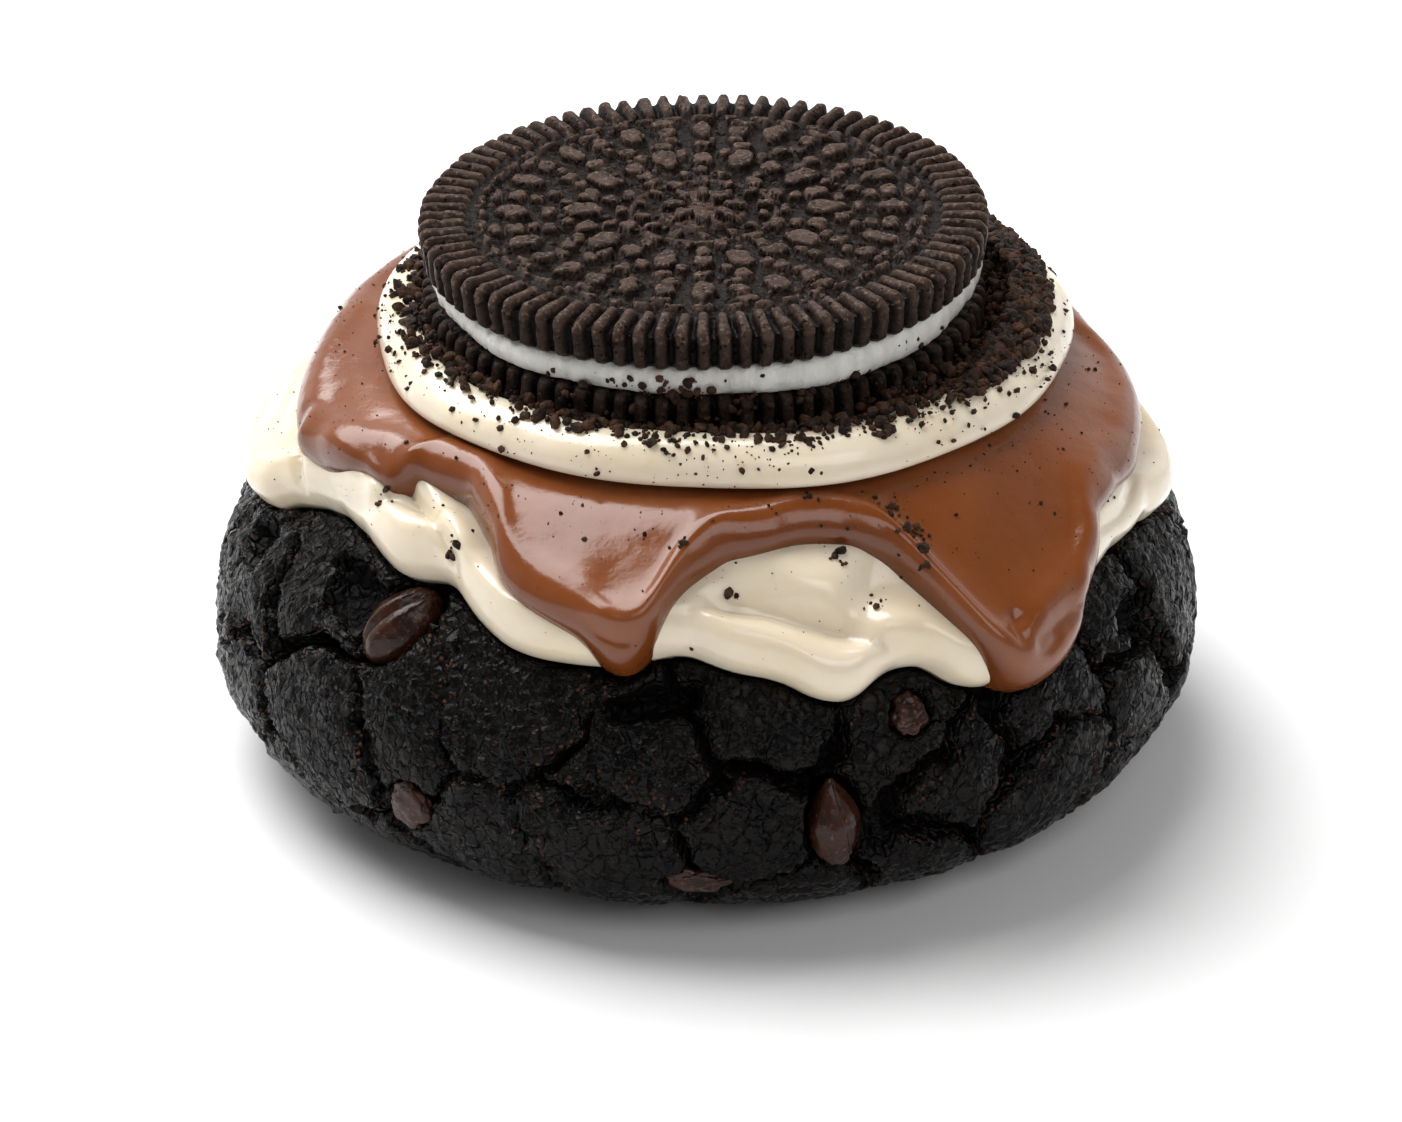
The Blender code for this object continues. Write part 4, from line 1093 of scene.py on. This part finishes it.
def make_wafer_finish():
    wafer = Finish("dark_cocoa_wafer", {"Specular IOR Level": 0.05})
    raised = wafer.marked("raised")
    patches = wafer.noise(500.0, 4.0)
    fine = wafer.noise(3000.0, 4.0)
    holes = wafer.spread(wafer.cells(1700.0, wafer.ragged(1500.0, 0.0003)), 0.18, 0.34)
    chosen = wafer.spread(wafer.noise(1200.0, 2.0), 0.50, 0.58, 1.0, 0.0)
    pitted = wafer.combine(holes, chosen, "MAXIMUM")
    # The raised tops get the lighter high colour, and the lows of the field and the rib grooves get the
    # near-black low colour: the darkness of the lows is painted shade.
    low = wafer.patchy(patches, (0.0035, 0.0023, 0.0018), (0.0120, 0.0080, 0.0062))
    high = wafer.patchy(patches, (0.0290, 0.0170, 0.0122), (0.0700, 0.0445, 0.0340))
    base = wafer.blend(raised, low, high)
    # Lighter spots on the raised tops: partly wear, partly a painted sheen standing in for the grey
    # highlights on the tops.
    wear_and_painted_sheen = wafer.combine(wafer.spread(fine, 0.54, 0.66), wafer.spread(raised, 0.4, 1.0, 0.15, 0.9))
    base = wafer.blend(wear_and_painted_sheen, base, (0.150, 0.098, 0.075))
    # Painted shade: nearly black in the small pits.
    base = wafer.blend(wafer.spread(pitted, 0.0, 1.0, 0.8, 0.0), base, (0.003, 0.002, 0.0015))
    shaded = wafer.spread(wafer.marked("shaded"), 0.25, 0.95, 0.0, 0.94)
    base = wafer.blend(shaded, base, (0.0016, 0.0010, 0.0008))
    roughness = wafer.spread(patches, 0.3, 0.7, 0.28, 0.48)
    return wafer.done(base, roughness, (pitted, 0.00012), (patches, 0.00012), (fine, 0.00006))


def make_filling_finish():
    filling = Finish("white_vanilla_filling", {
        "Subsurface Weight": 0.25, "Subsurface Radius": (1.0, 0.85, 0.7), "Subsurface Scale": 0.0012,
    })
    broad = filling.noise(900.0, 4.0, filling.stretched(filling.place, (1, 1, 0.4)))
    fine = filling.noise(3500.0)
    tint = filling.patchy(broad, (0.72, 0.71, 0.68), (0.60, 0.58, 0.54))
    roughness = filling.spread(fine, 0.3, 0.7, 0.38, 0.52)
    return filling.done(tint, roughness, (broad, 0.00032), (fine, 0.00006))


def make_chip_finish():
    chip = Finish("dark_chocolate_chip", {"Specular IOR Level": 0.26})
    patches = chip.noise(450.0, 4.0)
    fine = chip.noise(2600.0)
    base = chip.patchy(patches, (0.017, 0.0056, 0.0028), (0.040, 0.0128, 0.0062))
    base = chip.blend(chip.spread(fine, 0.62, 0.70, 0.0, 0.6), base, (0.16, 0.065, 0.032))
    return chip.done(base, chip.spread(patches, 0.3, 0.7, 0.18, 0.34), (patches, 0.00018), (fine, 0.00003))


def make_crumb_finish():
    crumb = Finish("dark_biscuit_crumb", {"Specular IOR Level": 0.18})
    fine = crumb.noise(6000.0)
    base = crumb.patchy(crumb.noise(900.0), (0.0105, 0.0055, 0.0030), (0.075, 0.031, 0.0135), 0.42, 0.70)
    return crumb.done(base, crumb.spread(fine, 0.3, 0.7, 0.50, 0.72), (fine, 0.00008))


# Crumbs: sizes are half-widths from the smallest to the largest
CRUMB_SEED = 29
CRUMB_SHAPES = 6
COARSE_UNDER = 0.00044
CRUMB_SUNK = 0.25
HEAP_SIZES = (0.00018, 0.00066)
TROUGH_CRUMBS = 1300
TROUGH_SIZES = (0.0002, 0.0006)
RIM_SIZES = (0.00008, 0.00042)
CLUMP_SIZES = (0.0002, 0.0006)
EDGE_CRUMBS = 90
EDGE_SIZES = (0.0001, 0.0005)
FILLING_CRUMBS = 80
FILLING_SIZES = (0.00009, 0.0005)
SAUCE_CLUMP_SIZES = (0.00018, 0.00052)
LOOSE_CRUMBS = 150
LOOSE_SIZES = (0.00009, 0.00026)
COAT_SPECKS = 620
COAT_SPECK_SIZES = (0.00004, 0.00010)
RIM_SPECKS = 520
RIM_SPECK_SIZES = (0.00004, 0.00011)
# Heaped crumbs between biscuit and rim: azimuth from, to, how many, how high they pile
HEAPS = ((50, 128, 2300, 0.0036), (128, 165, 300, 0.0020), (-122, -66, 420, 0.0018),
         (-66, -20, 150, 0.0007), (-20, 50, 420, 0.0012), (165, 238, 260, 0.0012))
# Crumbs on the rim: azimuth from, to, how many
RIM_CRUMBS = ((44, 125, 460), (-120, -60, 230), (-60, -5, 130), (-5, 44, 210), (125, 240, 220))
# Clumps on the rim and the sauce: azimuth, turn on the rim or run on the sauce, how many, spread
RIM_CLUMPS = ((13, 34, 16, 5.0), (28, 30, 10, 3.0), (-12, 20, 6, 3.0))
SAUCE_CLUMPS = ((29.5, 0.0318, 22, 0.0011), (28, 0.0288, 10, 0.0006), (19, 0.0311, 7, 0.0005),
                (-3, 0.0302, 6, 0.0005), (4, 0.0323, 3, 0.0003), (22, 0.0340, 4, 0.0004),
                (-36, 0.0322, 5, 0.0006), (-52, 0.0310, 4, 0.0005), (16, 0.0272, 4, 0.0006))


def crumb_shapes(fineness):
    """Several ragged crumbs of unit size, as points and triangles."""
    shapes = []
    for kind in range(CRUMB_SHAPES):
        nothing_selected()
        bpy.ops.mesh.primitive_ico_sphere_add(subdivisions=fineness, radius=1.0)
        crumb = bpy.context.object
        points = points_of(crumb)
        rough = rough_grain(points * 0.01, 0.011, 100 + 7 * kind, 2)
        points = points * (1.0 + 0.38 * rough)[:, None]
        points *= np.array((1.0, 0.85 - 0.05 * kind, 0.62 + 0.06 * kind))
        corners = [tuple(face.vertices) for face in crumb.data.polygons]
        shapes.append((points, np.array(corners)))
        bpy.data.objects.remove(crumb, do_unlink=True)
    return shapes


def crumb_size(draw, low, high):
    return low + (high - low) * draw.random() ** 2.2


def scatter(name, places, lumps, bits, draw, finish):
    """One piece of many crumbs, the larger ones finer. Each place is a point, its way up, and a size."""
    all_points = []
    all_faces = []
    count = 0
    for point, up, size in places:
        points, corners = (lumps if size > COARSE_UNDER else bits)[draw.randrange(CRUMB_SHAPES)]
        turn = draw.uniform(0, 2 * math.pi)
        spin = Matrix.Rotation(turn, 3, Vector((draw.uniform(-1, 1), draw.uniform(-1, 1), 1)))
        stand = Vector(up).to_track_quat("Z", "Y").to_matrix() @ spin
        centre = np.array(point) + np.array(up) * size * (0.55 - CRUMB_SUNK)
        all_points.append(points * size @ np.array(stand).T + centre)
        all_faces.append(corners + count)
        count += len(points)
    mesh = bpy.data.meshes.new(name)
    mesh.from_pydata(np.concatenate(all_points).tolist(), [], np.concatenate(all_faces).tolist())
    piece = bpy.data.objects.new(name, mesh)
    bpy.context.scene.collection.objects.link(piece)
    hand_over(piece, finish, "wafer")


def on_bed(azimuth, turn):
    """A point of the cream bed's rounded rim and its way out. Turn is 0 on the crest and 90 outside."""
    lean = math.radians(abs(turn))
    away = math.radians(azimuth)
    if turn < 0:
        half_width, foot, side = BED_CREST_RADIUS - BED_RECESS_RADIUS, BED_RECESS, -1
    else:
        half_width, foot, side = BED_HALF_WIDTH - BED_CREST_RADIUS, BED_WIDEST, 1
    out = BED_CREST_RADIUS + side * half_width * math.sin(lean)
    height = foot + (BED_CREST - foot) * math.cos(lean)
    flat = side * math.sin(lean)
    way = Vector((flat * math.sin(away), -flat * math.cos(away), math.cos(lean))).normalized()
    return (BED_CENTRE_X + out * math.sin(away), -out * math.cos(away), height), way


def on_coats(places):
    """Points on the sauce, or past its hem on the frosting, and their way out, for azimuths and runs."""
    azimuths, runs = np.array(places).T
    on_sauce = runs < sauce_hem(azimuths) - 0.0004
    lifts = np.where(on_sauce, sauce_lift(azimuths, runs), frosting_lift(azimuths, runs))
    points = on_dough(azimuths, runs, lifts)
    normal_r, normal_z = outline_normal(runs)
    away = np.radians(azimuths)
    ways = np.stack([normal_r * np.sin(away), -normal_r * np.cos(away), normal_z], axis=-1)
    return [(tuple(point), Vector(way).normalized()) for point, way in zip(points, ways)]


def way_out(azimuth):
    return Vector((math.sin(azimuth), -math.cos(azimuth), 0))


def beside_biscuit(azimuth, out, level):
    """A point at this distance from the biscuit's axis, and its way out."""
    way = way_out(azimuth)
    return tuple(way * out + Vector((WAFER_CENTRE_X, 0, level))), way


def heaped_places(draw):
    up = Vector((0, 0, 1))
    places = []
    for first, last, count, high in HEAPS:
        for _ in range(count):
            azimuth = draw.uniform(first, last)
            mid = 1.0 - abs(2 * (azimuth - first) / (last - first) - 1.0) ** 3
            out = draw.random()
            x, y, z = on_bed(azimuth, -80 + 105 * out)[0]
            pile = high * mid * (1.0 - out) ** 1.2 * draw.random() ** 0.5
            places.append(((x, y, z + pile), up, crumb_size(draw, *HEAP_SIZES)))
    for _ in range(TROUGH_CRUMBS):
        way = way_out(math.radians(draw.uniform(35, 150)))
        inner = way * (WAFER_RADIUS + 0.0001) + Vector((WAFER_CENTRE_X, 0, 0))
        outer = way * (BED_RECESS_RADIUS + 0.0006) + Vector((BED_CENTRE_X, 0, 0))
        level = draw.uniform(BED_RECESS + 0.0004, BED_CREST + 0.0006)
        place = inner.lerp(outer, draw.random()) + Vector((0, 0, level))
        places.append((tuple(place), up, crumb_size(draw, *TROUGH_SIZES)))
    return places


def rim_places(draw):
    places = []
    for first, last, count in RIM_CRUMBS:
        for _ in range(count):
            point, up = on_bed(draw.uniform(first, last), draw.triangular(-50, 92, -10))
            places.append((point, up, crumb_size(draw, *RIM_SIZES)))
    for azimuth, turn, count, wide in RIM_CLUMPS:
        for _ in range(count):
            point, up = on_bed(azimuth + draw.gauss(0, wide / 2.2), turn + draw.gauss(0, wide * 1.6))
            places.append((point, up, crumb_size(draw, *CLUMP_SIZES)))
    seam = LOWER_WAFER_Z + WAFER_THICKNESS
    for _ in range(EDGE_CRUMBS):
        azimuth = math.radians(draw.gauss(-2, 30))
        level = draw.triangular(LOWER_WAFER_Z, seam + FILLING_THICKNESS, seam)
        out = WAFER_RADIUS if level < seam else FILLING_RADIUS + 0.0005
        place, way = beside_biscuit(azimuth, out, level)
        places.append((place, way, crumb_size(draw, *EDGE_SIZES)))
    for _ in range(FILLING_CRUMBS):
        azimuth = math.radians(draw.gauss(-6, 7) if draw.random() < 0.55 else draw.uniform(-50, 60))
        level = seam + FILLING_THICKNESS * draw.uniform(-0.1, 0.9)
        place, way = beside_biscuit(azimuth, FILLING_RADIUS + 0.0004, level)
        places.append((place, way, crumb_size(draw, *FILLING_SIZES)))
    return places


def sauce_places(draw):
    places = []
    for azimuth, run, count, wide in SAUCE_CLUMPS:
        for _ in range(count):
            turn = math.degrees(draw.gauss(0, wide) / HALF_WIDTH)
            places.append((azimuth + turn, run + draw.gauss(0, wide * 0.8)))
    sizes = [crumb_size(draw, *SAUCE_CLUMP_SIZES) for _ in places]
    for _ in range(LOOSE_CRUMBS):
        places.append((draw.uniform(-130, 230), draw.triangular(0.0262, 0.0372, 0.0275)))
    sizes += [crumb_size(draw, *LOOSE_SIZES) for _ in range(LOOSE_CRUMBS)]
    return [(point, up, size) for (point, up), size in zip(on_coats(places), sizes)]


def dust_places(draw):
    specks = [(draw.uniform(-180, 180), draw.triangular(0.0262, 0.0385, 0.0270)) for _ in range(COAT_SPECKS)]
    places = [(point, up, crumb_size(draw, *COAT_SPECK_SIZES)) for point, up in on_coats(specks)]
    for _ in range(RIM_SPECKS):
        point, up = on_bed(draw.uniform(-180, 180), draw.uniform(-40, 95))
        places.append((point, up, crumb_size(draw, *RIM_SPECK_SIZES)))
    return places


def make_crumbs(finish):
    draw = random.Random(CRUMB_SEED)
    lumps = crumb_shapes(2)
    bits = crumb_shapes(1)
    for name, places_of in (("crumbs_heaped", heaped_places), ("crumbs_on_cream", rim_places),
                            ("crumbs_on_sauce", sauce_places), ("crumb_dust", dust_places)):
        scatter(name, places_of(draw), lumps, bits, draw, finish)


# Stage: the floor, the lamps with their places, widths, heights and powers, the white room, and the camera
FLOOR_SIZE = 6.0
FLOOR_LEVEL = -0.00005
LAMP_TARGET = (0, 0, 0.02)
LAMPS = (
    ("key_softbox", (-0.27, 0.25, 0.66), 0.74, 0.62, 9.6),
    ("front_fill", (0.35, -0.62, 0.62), 0.70, 0.50, 2.6),
)
ROOM_FRONT = 0.22
ROOM_TOP = 0.16
LENS = 200.0
SENSOR = 36.0
CAMERA_PLACE = (-0.00033, -0.5636, 0.3093)
CAMERA_TILT = math.radians(62.4)


def make_floor():
    nothing_selected()
    bpy.ops.mesh.primitive_plane_add(size=FLOOR_SIZE, location=(0, 0, FLOOR_LEVEL))
    floor = bpy.context.object
    floor.name = "pale_floor"
    values = {"Base Color": (0.92, 0.92, 0.92), "Roughness": 0.8, "Specular IOR Level": 0.1}
    floor.data.materials.append(Finish("pale_floor_paint", values).material)


def make_lamp(name, place, wide, high, power):
    """A rectangular lamp that faces the cookie."""
    lamp = bpy.data.lights.new(name, "AREA")
    lamp.shape = "RECTANGLE"
    lamp.size = wide
    lamp.size_y = high
    lamp.energy = power
    holder = bpy.data.objects.new(name, lamp)
    bpy.context.scene.collection.objects.link(holder)
    holder.location = place
    holder.rotation_euler = (Vector(LAMP_TARGET) - Vector(place)).to_track_quat("-Z", "Y").to_euler()


def make_room():
    """White all round as the camera sees it. It lights the cookie less from the front and from high up."""
    world = bpy.data.worlds.new("white_room")
    bpy.context.scene.world = world
    world.use_nodes = True
    room = Nodes(world.node_tree)
    sky = world.node_tree.nodes["Background"]
    room.fill(sky.inputs["Color"], (1, 1, 1))
    way = room.add("TexCoord", {}, "Generated")
    behind = room.spread(room.add("SeparateXYZ", {"Vector": way}, "Y"), -0.5, 0.7, ROOM_FRONT, 1.0)
    low = room.spread(room.add("SeparateXYZ", {"Vector": way}, "Z"), 0.25, 0.85, 1.0, ROOM_TOP)
    seen = room.add("LightPath", {}, "Is Camera Ray")
    room.fill(sky.inputs["Strength"], room.combine(room.combine(behind, low), seen, "MAXIMUM"))


def make_camera():
    lens = bpy.data.cameras.new("camera")
    lens.lens = LENS
    lens.sensor_width = SENSOR
    camera = bpy.data.objects.new("camera", lens)
    bpy.context.scene.collection.objects.link(camera)
    camera.location = CAMERA_PLACE
    camera.rotation_euler = (CAMERA_TILT, 0, 0)
    bpy.context.scene.camera = camera


def main():
    make_crust(make_crust_finish())
    frosting_finish = make_cream_finish("ivory_frosting", (0.82, 0.725, 0.572), (0.78, 0.665, 0.485), 0.18)
    make_coat("frosting_coat", frosting_hem, frosting_lift, GAP, frosting_finish, "frosting", "frosting")
    sauce_finish = make_sauce_finish()
    make_coat("sauce_coat", sauce_hem, sauce_lift, SAUCE_UNDER, sauce_finish, "sauce", "chocolate_sauce")
    make_bed(make_cream_finish("piped_cream", (0.85, 0.75, 0.60), (0.80, 0.68, 0.50), 0.20))
    wafer_finish = make_wafer_finish()
    make_wafer("wafer_on_top", TOP_WAFER_ROWS, True, wafer_finish, "upper_wafer")
    make_wafer("wafer_below", LOWER_WAFER_ROWS, False, wafer_finish, "lower_wafer")
    make_filling(make_filling_finish())
    chip_finish = make_chip_finish()
    for name in CHIPS:
        make_chip(name, chip_finish)
    make_crumbs(make_crumb_finish())
    make_floor()
    for lamp in LAMPS:
        make_lamp(*lamp)
    make_room()
    make_camera()
    bpy.context.scene.view_settings.view_transform = "Standard"


main()
